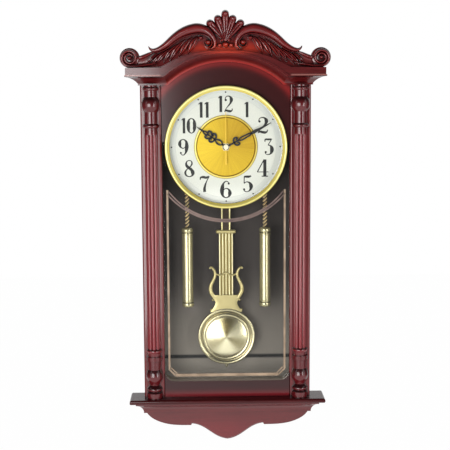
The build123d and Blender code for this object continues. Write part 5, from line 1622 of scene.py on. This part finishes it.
@dataclass
class Dial:
    """Dial plate with raised numbers and hour dots, gold centre, bezel and lens."""

    front: float = 59.0
    print_height: float = 0.08
    number_radius: float = 63.7
    number_height: float = 22.6
    number_wide: tuple[float, ...] = (1.05, 1.25, 1.07, 1.35, 1.25, 1.18, 1.25, 1.22, 1.05, 1.0, 1.1, 1.02)
    number_tall: tuple[float, ...] = (1.0, 1.05, 1.07, 1.13, 1.08, 1.12, 1.06, 1.1, 1.06, 1.0, 1.02, 1.06)
    dot_radius: float = 81.2
    dot_size: float = 1.15
    dot_height: float = 0.24
    stroke_points: int = 48

    def number(self, hour: int) -> list[np.ndarray]:
        """Lay out one number: its figures side by side, centred at its hour; a nine is a six upside down.

        Args:
            hour: The hour, 1 to 12.

        Returns:
            Grids of its strokes and ball ends.
        """
        text = str(hour)
        figures = [FIGURES["6" if letter == "9" else letter] for letter in text]
        middle = at_hour(hour, self.number_radius)
        scale = np.array((self.number_wide[hour - 1], self.number_tall[hour - 1])) * self.number_height
        pen = -sum(figure.wide for figure in figures) / 2
        made = []
        for letter, figure in zip(text, figures):
            flip = -1.0 if letter == "9" else 1.0
            shift = pen + figure.wide / 2
            for stroke in figure.strokes:
                made.append(self.stroke(stroke, shift, flip, middle, scale))
            for across, up, radius in figure.balls:
                at = middle + np.array((across * flip + shift, (up - FIGURE_MIDDLE) * flip)) * scale
                made.append(knob((at[0], at[1]), radius * scale[1], self.front, self.print_height))
            pen += figure.wide
        return made

    def stroke(
        self, rows: Sequence[Station], shift: float, flip: float, middle: np.ndarray, scale: np.ndarray
    ) -> np.ndarray:
        """Carry a flat section along one stroke of a figure.

        Args:
            rows: Across, up and half width along the stroke, as shares of a figure's height.
            shift: Place of the figure in its number.
            flip: -1 turns the figure upside down.
            middle: Across and up of the number's middle.
            scale: Width and height of the number.

        Returns:
            The stroke's grid.
        """
        table = np.asarray(rows, dtype=float)
        table[:, 0] = middle[0] + (table[:, 0] * flip + shift) * scale[0]
        table[:, 1] = middle[1] + (table[:, 1] - FIGURE_MIDDLE) * flip * scale[1]
        table[:, 2] *= scale.mean()
        height = np.full((len(table), 1), self.print_height)
        return carried(np.hstack((table, height)), Section.FLAT, self.front, self.stroke_points)

    def make(self, shop: Workshop) -> None:
        """Build the print and dress the plate, centre, bezel and lens.

        Args:
            shop: Workshop that fits and dresses them.
        """
        grids = []
        for hour in range(1, 13):
            across, up = at_hour(hour, self.dot_radius)
            grids += self.number(hour)
            grids.append(knob((across, up), self.dot_size, self.front, self.dot_height))
        shop.fit(Patchwork(grids), "dial_numbers", BLACK, "case")
        shop.dress(ENAMEL, "dial_plate")
        shop.dress(SUNBURST, "dial_medallion")
        shop.dress(GILT, "bezel")
        shop.dress(LENS, "dial_lens")
        shop.dress(STEEL, "dial_pan")
        shop.dress(PALE_GILT, "hand_nut")


@dataclass
class Hands:
    """Pierced hour and minute hands and a slim sweep hand."""

    thickness: float = 0.6
    hole: float = 1.9
    hub_steps: int = 48
    line_points: int = 40
    hour_level: float = 62.8
    hour_turn: float = 305.0
    hour_hub: float = 5.0
    hour_bold: float = 1.7
    hour_lines: tuple[tuple[Station, ...], ...] = (
        ((0, 4.4, 1.0), (0, 6, 0.8), (0, 7.5, 0.6)),
        ((0.2, 6.6, 0.55), (2.6, 9.5, 0.7), (3.0, 13.5, 0.85), (0.5, 19.6, 0.7)),
        ((0, 19, 0.8), (0, 26, 0.7), (0, 34, 0.8)),
        (
            (0.3, 20, 0.7), (4.0, 20.6, 0.85), (6.6, 23.4, 0.95), (5.6, 26.6, 0.85), (3.2, 25.9, 0.7),
            (3.4, 23.9, 0.5),
        ),
        (
            (0.3, 25, 0.7), (3.6, 28.2, 0.9), (5.8, 31.8, 0.9), (4.6, 34.6, 0.8), (2.5, 33.4, 0.65),
            (3.0, 31.6, 0.45),
        ),
        ((0.2, 33, 0.6), (1.9, 36, 0.7), (1.5, 39, 0.7), (0.1, 42, 0.6)),
        ((0, 41, 0.95), (0, 47, 0.6), (0, 53.4, 0.14)),
    )
    minute_level: float = 64.2
    minute_turn: float = 62.0
    minute_hub: float = 4.5
    minute_bold: float = 1.6
    minute_lines: tuple[tuple[Station, ...], ...] = (
        ((0, 4, 1.1), (0, 9, 0.8), (0, 15, 1.0)),
        (
            (0.3, 13.5, 0.7), (3.8, 14.6, 0.85), (5.8, 17.6, 0.95), (4.6, 20.6, 0.8), (2.4, 19.6, 0.65),
            (2.8, 17.8, 0.45),
        ),
        ((0, 14, 0.8), (0, 18, 0.8), (0, 22.5, 0.9)),
        ((0.2, 21.5, 0.6), (1.7, 25, 0.68), (1.75, 34, 0.72), (1.5, 39.5, 0.72), (0.2, 43.5, 0.7)),
        ((0, 42.5, 1.1), (0, 47, 1.5), (0, 56, 1.15), (0, 68, 0.7), (0, 76.5, 0.16)),
    )

    def pierced(
        self, lines: Sequence[Sequence[Station]], level: float, turn: float, hub: float, bold: float
    ) -> Patchwork:
        """Make a hand: a ring for its hub, and flat lines, those beside the middle on both sides of it.

        Args:
            lines: Rows of across, up and half width, for the hand pointing up.
            level: Depth of its back.
            turn: Clockwise angle it points in, in degrees.
            hub: Radius of its hub.
            bold: Factor on the half widths.

        Returns:
            Its surfaces.
        """
        front = level + self.thickness
        ring = ((self.hole, level), (hub, level), (hub, front), (self.hole, front), (self.hole, level))
        work = Patchwork().add(turned(ring, Axis.DEPTH, (0.0, 0.0), self.hub_steps))
        for line in lines:
            stations = [(across, up, half * bold, self.thickness) for across, up, half in line]
            in_middle = all(across == 0 for across, _, _ in line)
            for mirror in (1.0,) if in_middle else (1.0, -1.0):
                work.add(carried(stations, Section.FLAT, level, self.line_points, mirror=mirror, turn=turn))
        return work

    def make(self, shop: Workshop) -> None:
        """Build the two pierced hands and dress the sweep hand.

        Args:
            shop: Workshop that fits and dresses them.
        """
        hour = self.pierced(self.hour_lines, self.hour_level, self.hour_turn, self.hour_hub, self.hour_bold)
        shop.fit(hour, "hour_hand_pierced", BLACK, "hour", ("hour_hand",))
        minute = self.pierced(
            self.minute_lines, self.minute_level, self.minute_turn, self.minute_hub, self.minute_bold
        )
        shop.fit(minute, "minute_hand_pierced", BLACK, "minute", ("minute_hand",))
        shop.dress(SWEEP_GILT, "second_hand")


@dataclass
class Window:
    """The front glass with its printed lines."""

    glass_front: float = 56.0
    half: float = 88.4
    foot: float = -349.9
    corner: float = 9.0
    arc: float = 111.0
    arc_turn: float = 52.0
    arc_gap: float = 1.2
    arc_part: float = 0.9
    arc_half: float = 1.5
    arc_taper: float = 0.7
    upright_lap: float = 4.0
    upright_half: float = 1.5
    foot_half: float = 2.2
    tie_half: float = 1.2
    tie_middle: Place = (0.55, 0.45)
    inner_half: float = 0.8
    inner_shift: Place = (-2.8, 2.6)
    print_height: float = 0.06
    arc_points: int = 41
    line_points: int = 60

    def arc_lines(self) -> Patchwork:
        """Lay out the arc under the dial: two lines beside one circle that part and thin towards its ends.

        Returns:
            Its surfaces.
        """
        share = np.linspace(-1.0, 1.0, self.arc_points)
        turn = np.radians(180.0 + self.arc_turn * share)
        part = np.abs(share) ** 2
        half = self.arc_half - self.arc_taper * part
        high = np.full_like(turn, self.print_height)
        work = Patchwork()
        for side in (-1.0, 1.0):
            reach = self.arc + side * (self.arc_gap + self.arc_part * part)
            rows = np.column_stack((np.sin(turn) * reach, np.cos(turn) * reach, half, high))
            work.add(carried(rows, Section.FLAT, self.glass_front, self.line_points))
        return work

    def straight_line(self, places: Sequence[Place], half: float, mirror: float = 1.0) -> np.ndarray:
        """Carry a flat print of one width along places on the glass."""
        rows = [(*place, half, self.print_height) for place in places]
        return carried(rows, Section.FLAT, self.glass_front, self.line_points, mirror=mirror)

    def straight_lines(self) -> Patchwork:
        """Lay out the uprights, the foot line and the ties across its corners.

        Returns:
            Their surfaces.
        """
        top = self.arc * math.cos(math.radians(180.0 - self.arc_turn)) + self.upright_lap
        upright = ((self.half, top), (self.half, self.foot + self.corner))
        tie = (
            (self.half, self.foot + self.corner),
            (self.half - self.corner * self.tie_middle[0], self.foot + self.corner * self.tie_middle[1]),
            (self.half - self.corner, self.foot),
        )
        inner_tie = tuple((across + self.inner_shift[0], up + self.inner_shift[1]) for across, up in tie)
        foot = ((self.corner - self.half, self.foot), (self.half - self.corner, self.foot))
        work = Patchwork()
        for mirror in (1.0, -1.0):
            work.add(self.straight_line(upright, self.upright_half, mirror))
            work.add(self.straight_line(tie, self.tie_half, mirror))
            work.add(self.straight_line(inner_tie, self.inner_half, mirror))
        return work.add(self.straight_line(foot, self.foot_half))

    def make(self, shop: Workshop) -> None:
        """Build the lines and dress the pane.

        Args:
            shop: Workshop that fits and dresses them.
        """
        shop.fit(self.arc_lines(), "glass_arc", BRONZE, "case")
        shop.fit(self.straight_lines(), "glass_lines", BEIGE, "case")
        shop.dress(WINDOW, "glass_pane")


@dataclass
class Pendulum:
    """The gridiron pendulum with its lyre and dished bob."""

    plate: float = 26.05
    sharp: float = 50.0
    bob_up: float = -297.0
    rim_back: float = 22.0
    rim_front: float = 26.0
    rim_roll: float = 1.9
    rim_middle: float = 42.6
    rim_roll_drop: float = 1.3
    rim_roll_turn: Place = (-0.35, 0.5)
    rim_rear: tuple[Station, ...] = ((0.0, 0.0), (41.0, 0.0), (43.6, 0.5), (44.5, 1.6))
    rim_fore: tuple[Station, ...] = ((40.6, 0.2), (39.8, -0.6), (37.4, -0.8), (0.0, -0.8))
    dome_radius: float = 31.6
    dome_rise: float = 4.6
    dome_lift: float = 2.2
    bob_steps: int = 160
    roll_points: int = 14
    dome_points: int = 24
    finial_depth: float = 24.0
    finial_steps: int = 32
    finial: tuple[Station, ...] = (
        (0.0, -50.0), (1.2, -49.4), (1.8, -47.6), (2.4, -45.4), (2.4, -43.6), (0.0, -43.0),
    )
    dish: tuple[Station, ...] = (
        (0.0, -1.0), (37.0, -1.0), (37.2, 0.8), (36.7, 1.8), (35.6, 2.5), (34.2, 2.6), (33.2, 2.0),
        (32.4, 1.8),
    )
    horn: tuple[Station, ...] = (
        (25.6, -188.2, 1.1, 1.4), (23.2, -187.2, 1.5, 1.8), (20.4, -189.6, 1.9, 2.0),
        (17.6, -194.6, 2.1, 2.0), (17.4, -201.4, 2.2, 2.0), (20.4, -208.8, 2.4, 2.0),
        (23.8, -216.4, 2.8, 2.0), (24.2, -224.0, 3.0, 2.0), (21.0, -231.2, 3.0, 2.0),
        (16.6, -236.4, 2.8, 2.0),
    )
    garland: tuple[Station, ...] = (
        (-16.8, -196.6, 1.2, 1.6), (-12.0, -199.4, 1.4, 1.8), (-6.0, -199.0, 1.3, 1.8),
        (0.0, -195.8, 1.4, 1.8), (6.0, -199.0, 1.3, 1.8), (12.0, -199.4, 1.4, 1.8),
        (16.8, -196.6, 1.2, 1.6),
    )
    horn_points: int = 80
    garland_points: int = 60
    lyre_knobs: tuple[Station, ...] = (
        (24.6, -188.6, 1.7, 1.9), (20.6, -238.6, 1.9, 1.9), (23.2, -254.6, 2.2, 2.1),
    )
    saddle_rows: tuple[Station, ...] = (
        (0.0, -231.0, 19.6), (0.0, -233.4, 21.0), (0.0, -237.0, 19.6), (0.0, -242.4, 16.8),
        (0.0, -247.4, 17.8), (0.0, -252.4, 21.0), (0.0, -257.6, 24.6),
    )
    saddle_seat: float = 44.7
    saddle_thick: float = 2.0
    saddle_round: float = 0.5
    saddle_power: int = 8
    saddle_grid: tuple[int, int] = (36, 31)
    # A dark strip between the rods, as painted shade.
    leaf_depth: float = 23.4
    leaf_points: int = 12
    leaf_rows: tuple[Station, ...] = ((0.0, -91.0, 4.7, 0.8), (0.0, -129.6, 4.7, 0.8))

    def ring(self) -> Patchwork:
        """Turn the bob's rim, with a rolled edge, about a depth axis, and its finial about an upright one.

        Returns:
            Their surfaces.
        """
        start, end = self.rim_roll_turn
        angle = np.linspace(math.pi * start, math.pi * end, self.roll_points)
        roll_depth = self.rim_front - self.rim_roll_drop + self.rim_roll * np.sin(angle)
        roll = np.column_stack((self.rim_middle + self.rim_roll * np.cos(angle), roll_depth))
        rear = np.add(self.rim_rear, (0.0, self.rim_back))
        fore = np.add(self.rim_fore, (0.0, self.rim_front))
        rim = np.vstack((rear, roll, fore))
        work = Patchwork().add(turned(rim, Axis.DEPTH, (0.0, self.bob_up), self.bob_steps))
        finial = np.add(self.finial, (0.0, self.bob_up))
        return work.add(turned(finial, Axis.UP, (0.0, self.finial_depth), self.finial_steps))

    def face(self) -> Patchwork:
        """Turn the bob's dished face about a depth axis: a stepped edge, then a dome, a parabola.

        Returns:
            Its surface.
        """
        inwards = 1 - np.linspace(0.0, 1.0, self.dome_points)
        dome_depth = self.rim_front + self.dome_lift + self.dome_rise * (1 - inwards**2)
        dome = np.column_stack((self.dome_radius * inwards, dome_depth))
        dish = np.add(self.dish, (0.0, self.rim_front))
        profile = np.vstack((dish, dome))
        return Patchwork().add(turned(profile, Axis.DEPTH, (0.0, self.bob_up), self.bob_steps))

    def lyre(self) -> Patchwork:
        """Carry rounded bands along the lyre's horns and garland, with knobs at their ends, on its saddle.

        Returns:
            Their surfaces.
        """
        work = Patchwork()
        for mirror in (1.0, -1.0):
            work.add(carried(self.horn, Section.ROUND, self.plate, self.horn_points, mirror=mirror))
            for across, up, radius, height in self.lyre_knobs:
                work.add(knob((mirror * across, up), radius, self.plate, height))
        work.add(carried(self.garland, Section.ROUND, self.plate, self.garland_points))
        return work.add(self.saddle())

    def saddle(self) -> np.ndarray:
        """Make the plate that sits on the bob.

        Its half width runs smoothly down a line of stations and its lower edge is
        an arc round the bob's centre; a loop round the thickness goes across.

        Returns:
            A grid that closes round its second side.
        """
        rows = flowing(self.saddle_rows, self.saddle_grid[0])
        share = np.linspace(-1.0, 1.0, self.saddle_grid[1])
        across = rows[:, 2:3] * share
        seat = self.bob_up + np.sqrt(self.saddle_seat**2 - across**2)
        up = np.maximum(rows[:, 1:2], seat)
        rounding = self.saddle_round * np.abs(share) ** self.saddle_power
        front = spot(across, self.plate + self.saddle_thick - rounding, up)
        behind = spot(across, self.plate, up)
        return np.concatenate((front, behind[:, ::-1]), axis=1)

    def leaf(self) -> Patchwork:
        """Carry a thin dark flat section down between the two rods, from the hanger to the crossbar, as
        painted shade between them.
        """
        return Patchwork().add(carried(self.leaf_rows, Section.FLAT, self.leaf_depth, self.leaf_points))

    def make(self, shop: Workshop) -> None:
        """Build the bob and lyre and dress the rods.

        Args:
            shop: Workshop that fits and dresses them.
        """
        for work, name, finish, node in (
            (self.ring(), "bob_ring", BOB_BRASS, "bob_rim"),
            (self.face(), "bob_face", BOB_BRASS, "bob_dish"),
            (self.lyre(), "lyre_ornament", LYRE_BRASS, "pendulum_lyre"),
        ):
            shop.fit(work, name, finish, "pendulum", (node,), self.sharp)
        shop.fit(self.leaf(), "rod_gap_shade_strip", ROD_GAP_SHADE, "pendulum")
        shop.dress(LYRE_BRASS, "pendulum_crossbar")
        shop.dress(ROD_BRASS, "pendulum_rods")
        shop.dress(GRID_BRASS, "pendulum_grid")
        shop.dress(STEEL, "pendulum_hanger", "pendulum_magnet")


@dataclass
class Weights:
    """Two chain-hung tube weights with stepped caps."""

    across: float = 59.2
    depth: float = 42.0
    tube_radius: float = 8.3
    tube_top: float = -126.4
    tube_foot: float = -242.4
    cap_lap: float = 7.0
    cap_sharp: float = 30.0
    cap: tuple[Station, ...] = (
        (0.0, 3.5), (6.0, 3.4), (7.5, 3.0), (8.4, 2.2), (8.9, 1.0), (9.0, -0.8), (8.9, -2.4), (8.6, -3.2),
        (7.4, -3.4), (7.4, -4.8), (8.6, -5.0), (8.9, -5.8), (8.8, -6.8), (8.2, -7.4), (0.0, -7.4),
    )
    chain_top: float = -44.2
    chain_foot: float = -123.4
    links: int = 14
    link_sharp: float = 60.0
    link_long: float = 3.6
    link_short: float = 1.7
    link_wire: float = 0.85
    link_lean: float = 0.75
    link_twist: Place = (0.32, 0.95)
    cap_steps: int = 64
    tube_steps: int = 96
    oval_points: int = 33
    wire_points: int = 12

    def caps(self, side: float) -> Patchwork:
        """Turn the stepped caps about the weight's upright axis, each a crown, a groove and a ring.

        Args:
            side: -1 for the left weight, 1 for the right.

        Returns:
            Their surfaces.
        """
        work = Patchwork()
        for end, hand in ((self.tube_top, 1.0), (self.tube_foot, -1.0)):
            profile = [(radius, end + hand * along) for radius, along in self.cap]
            work.add(turned(profile, Axis.UP, (side * self.across, self.depth), self.cap_steps))
        return work

    def tube(self, side: float) -> Patchwork:
        """Turn the tube about the weight's upright axis.

        Args:
            side: -1 for the left weight, 1 for the right.

        Returns:
            Its surface.
        """
        high = self.tube_top - self.cap_lap
        low = self.tube_foot + self.cap_lap
        wall = [(self.tube_radius, up) for up in (high, (high + low) / 2, low)]
        profile = [(0.0, high), *wall, (0.0, low)]
        return Patchwork().add(turned(profile, Axis.UP, (side * self.across, self.depth), self.tube_steps))

    def chain(self, side: float) -> Patchwork:
        """Make the curb chain.

        Each link is a round wire carried along an oval: its long axis leans in the
        front plane, its short axis goes mostly backwards, and the wire's own circle
        lies along the oval's normal and the normal of its plane.

        Args:
            side: -1 for the left weight, 1 for the right.

        Returns:
            The links' surfaces.
        """
        lean = np.array((math.sin(self.link_lean), 0.0, math.cos(self.link_lean)))
        beside = np.array((math.cos(self.link_lean), 0.0, -math.sin(self.link_lean)))
        twist = self.link_twist[0] * beside + np.array((0.0, self.link_twist[1], 0.0))
        twist /= np.linalg.norm(twist)
        oval = np.linspace(0.0, 2 * math.pi, self.oval_points)[:, None, None]
        wire = np.linspace(0.0, 2 * math.pi, self.wire_points, endpoint=False)[None, :, None]
        outward = lean * np.cos(oval) * self.link_short + twist * np.sin(oval) * self.link_long
        outward = outward / np.linalg.norm(outward, axis=-1, keepdims=True)
        path = lean * np.cos(oval) * self.link_long + twist * np.sin(oval) * self.link_short
        link = path + self.link_wire * (outward * np.cos(wire) + np.cross(lean, twist) * np.sin(wire))
        link = link + np.array((side * self.across, self.depth, 0.0))
        reach = self.link_long * math.cos(self.link_lean) + self.link_wire
        work = Patchwork()
        for middle in np.linspace(self.chain_top - reach, self.chain_foot + reach, self.links):
            work.add(spot(link[..., 0], link[..., 1], middle + link[..., 2]))
        return work

    def make(self, shop: Workshop) -> None:
        """Build both weights and dress their hooks.

        Args:
            shop: Workshop that fits and dresses them.
        """
        for name, side in (("left", -1.0), ("right", 1.0)):
            for piece, node, work, finish, sharp in (
                ("tube_polished", "tube", self.tube(side), TUBE_BRASS, SHARP),
                ("caps_polished", "caps", self.caps(side), TUBE_BRASS, self.cap_sharp),
                ("chain_links", "chain", self.chain(side), CHAIN_BRASS, self.link_sharp),
            ):
                body = f"{name}_weight"
                shop.fit(work, f"{name}_{piece}", finish, body, (f"{body}_{node}",), sharp)
        shop.dress(BRASS, "weight_hooks")


@dataclass
class Movement:
    """The quartz movement behind the dial, with its train, battery and setting knob."""

    plastic: tuple[str, ...] = ("movement_housing", "movement_cover", "setting_knob")
    wheels: tuple[str, ...] = ("hour_wheel", "motion_wheel", "third_wheel")
    steel: tuple[str, ...] = ("movement_screws", "battery_contacts", "motor_can", "second_arbor")

    def make(self, shop: Workshop) -> None:
        """Dress the movement.

        Args:
            shop: Workshop that dresses it.
        """
        shop.dress(MOVEMENT, *self.plastic)
        shop.dress(WHEEL, *self.wheels)
        shop.dress(STEEL, *self.steel)
        shop.dress(BRASS, "minute_arbor")
        shop.dress(CIRCUIT, "circuit_board")
        shop.dress(JACKET, "battery")
        shop.dress(COPPER, "pendulum_coil")


@dataclass(frozen=True)
class Sheet:
    """A flat studio sheet: a corner and two sides, with its brightness near the floor and above."""

    name: str
    corner: Point
    first: Point
    second: Point
    foot: float = 1.0
    head: float = 1.0
    points: int = 5

    def build(self) -> bpy.types.Object:
        """Make the sheet: the corner plus shares of its two sides, on a grid.

        Returns:
            The sheet.
        """
        share = np.linspace(0.0, 1.0, self.points)
        one = share[:, None, None] * np.array(self.first)
        two = share[None, :, None] * np.array(self.second)
        made = Patchwork().add(np.array(self.corner) + one + two, wrap=False).build(self.name, SHARP)
        return made


@dataclass(frozen=True)
class Lamp:
    """A soft rectangular lamp that looks at the middle of the clock."""

    name: str
    at: Point
    size: Place
    power: float


@dataclass
class Studio:
    """White studio: floor, world, soft lamps and the camera."""

    floor_sheet: Sheet = Sheet("studio_floor", (-4.0, -4.0, -1.0), (8.0, 0.0, 0.0), (0.0, 8.0, 0.0))
    floor_greys: Place = (0.8, 0.84)
    floor_seen: float = 0.99
    floor_mirrored: float = 0.9
    cards: tuple[Sheet, ...] = (
        Sheet("studio_card", (-2.4, -2.3, -1.0), (4.8, 0.0, 0.0), (0.0, 0.0, 3.1), 0.55, 0.03),
        Sheet("studio_flag_left", (-1.7, -0.9, -1.0), (0.0, 2.4, 0.0), (0.0, 0.0, 2.6), 0.12, 0.05),
        Sheet("studio_flag_right", (1.7, -0.5, -1.0), (0.0, 2.0, 0.0), (0.0, 0.0, 2.6), 0.12, 0.05),
        Sheet("studio_ceiling", (-2.4, -2.3, 1.6), (4.8, 0.0, 0.0), (0.0, 2.6, 0.0), 0.02, 0.02),
    )
    card_fade: Place = (-950.0, -100.0)
    ambient: float = 0.4
    lamps: tuple[Lamp, ...] = (
        Lamp("key_lamp", (-0.7, -1.75, -0.28), (1.1, 1.0), 24.0),
        Lamp("fill_lamp", (1.15, -1.5, -0.25), (0.35, 1.0), 9.0),
    )
    middle: Point = (0.0, 0.0, -0.2)
    eye: Point = (-0.0333, -1.554, -0.0148)
    look: Point = (0.02078, 0.99201, -0.12447)
    roll: float = 0.345
    lens: float = 80.0
    sensor: float = 36.0

    def floor(self) -> None:
        """Lay a pale floor that shows white to the camera and in reflections and still takes the shadow."""
        made = self.floor_sheet.build()
        shader = Shader("studio_white")
        dark, light = ((grey, grey, grey, 1.0) for grey in self.floor_greys)
        pale = shader.mix(shader.noise(3.0, detail=2.0), dark, light)
        matte = shader.wire("ShaderNodeBsdfDiffuse", {}, {"Color": pale})
        rays = shader.node("ShaderNodeLightPath", {}, {})
        seen = Wire(shader, rays.outputs["Is Camera Ray"]) * self.floor_seen
        mirrored = Wire(shader, rays.outputs["Is Glossy Ray"]) * self.floor_mirrored
        both = shader.wire("ShaderNodeMixShader", {}, {0: seen + mirrored, 1: matte, 2: shader.glow(WHITE)})
        made.data.materials.append(shader.surface(both))

    def reflector(self, card: Sheet) -> None:
        """Stand a sheet that only reflections see.

        Args:
            card: The sheet.
        """
        made = card.build()
        made.visible_camera = False
        made.visible_diffuse = False
        made.visible_shadow = False
        shader = Shader(f"{card.name}_graded")
        foot, head = ((grey, grey, grey, 1.0) for grey in (card.foot, card.head))
        shade = shader.mix(shader.up.ramp(*self.card_fade), foot, head)
        made.data.materials.append(shader.surface(shader.glow(shade)))

    def world(self) -> None:
        """Make the surroundings white to all rays but those from matt surfaces, which find them grey."""
        world = bpy.data.worlds.new("studio_world")
        bpy.context.scene.world = world
        shader = Shader("studio_world", world)
        diffuse = shader.wire("ShaderNodeLightPath", {}, {}, "Is Diffuse Ray")
        level = 1.0 - diffuse * (1.0 - self.ambient)
        sky = shader.wire("ShaderNodeBackground", {}, {"Color": WHITE, "Strength": level})
        shader.node("ShaderNodeOutputWorld", {}, {"Surface": sky})

    def hang(self, lamp: Lamp) -> None:
        """Hang a lamp.

        Args:
            lamp: The lamp.
        """
        light = bpy.data.lights.new(lamp.name, "AREA")
        light.shape = "RECTANGLE"
        light.size, light.size_y = lamp.size
        light.energy = lamp.power
        made = bpy.data.objects.new(lamp.name, light)
        at = Vector(lamp.at)
        way = Vector(self.middle) - at
        made.matrix_world = Matrix.Translation(at) @ way.to_track_quat("-Z", "Y").to_matrix().to_4x4()
        bpy.context.scene.collection.objects.link(made)

    def camera(self) -> None:
        """Set the camera: along its look, upright but for a slight roll."""
        ahead = Vector(self.look).normalized()
        level = ahead.cross(Vector((0.0, 0.0, 1.0))).normalized()
        over = level.cross(ahead)
        roll = math.radians(self.roll)
        right = level * math.cos(roll) - over * math.sin(roll)
        up = level * math.sin(roll) + over * math.cos(roll)
        data = bpy.data.cameras.new("photo_camera")
        data.lens = self.lens
        data.sensor_width = self.sensor
        made = bpy.data.objects.new("photo_camera", data)
        turn = Matrix((right, up, -ahead)).transposed().to_4x4()
        made.matrix_world = Matrix.Translation(Vector(self.eye)) @ turn
        bpy.context.scene.collection.objects.link(made)
        bpy.context.scene.camera = made

    def make(self) -> None:
        """Set up the studio."""
        bpy.context.scene.view_settings.view_transform = "Standard"
        self.floor()
        for card in self.cards:
            self.reflector(card)
        self.world()
        for lamp in self.lamps:
            self.hang(lamp)
        self.camera()


def main() -> None:
    """Build the clock in order and light it."""
    logging.basicConfig(level=logging.INFO, format="%(name)s: %(message)s")
    shop = Workshop()
    for assembly in (Crest(), Woodwork(), Dial(), Hands(), Window(), Pendulum(), Weights(), Movement()):
        assembly.make(shop)
    Studio().make()
    bpy.context.view_layer.update()


if __name__ == "__main__":
    main()
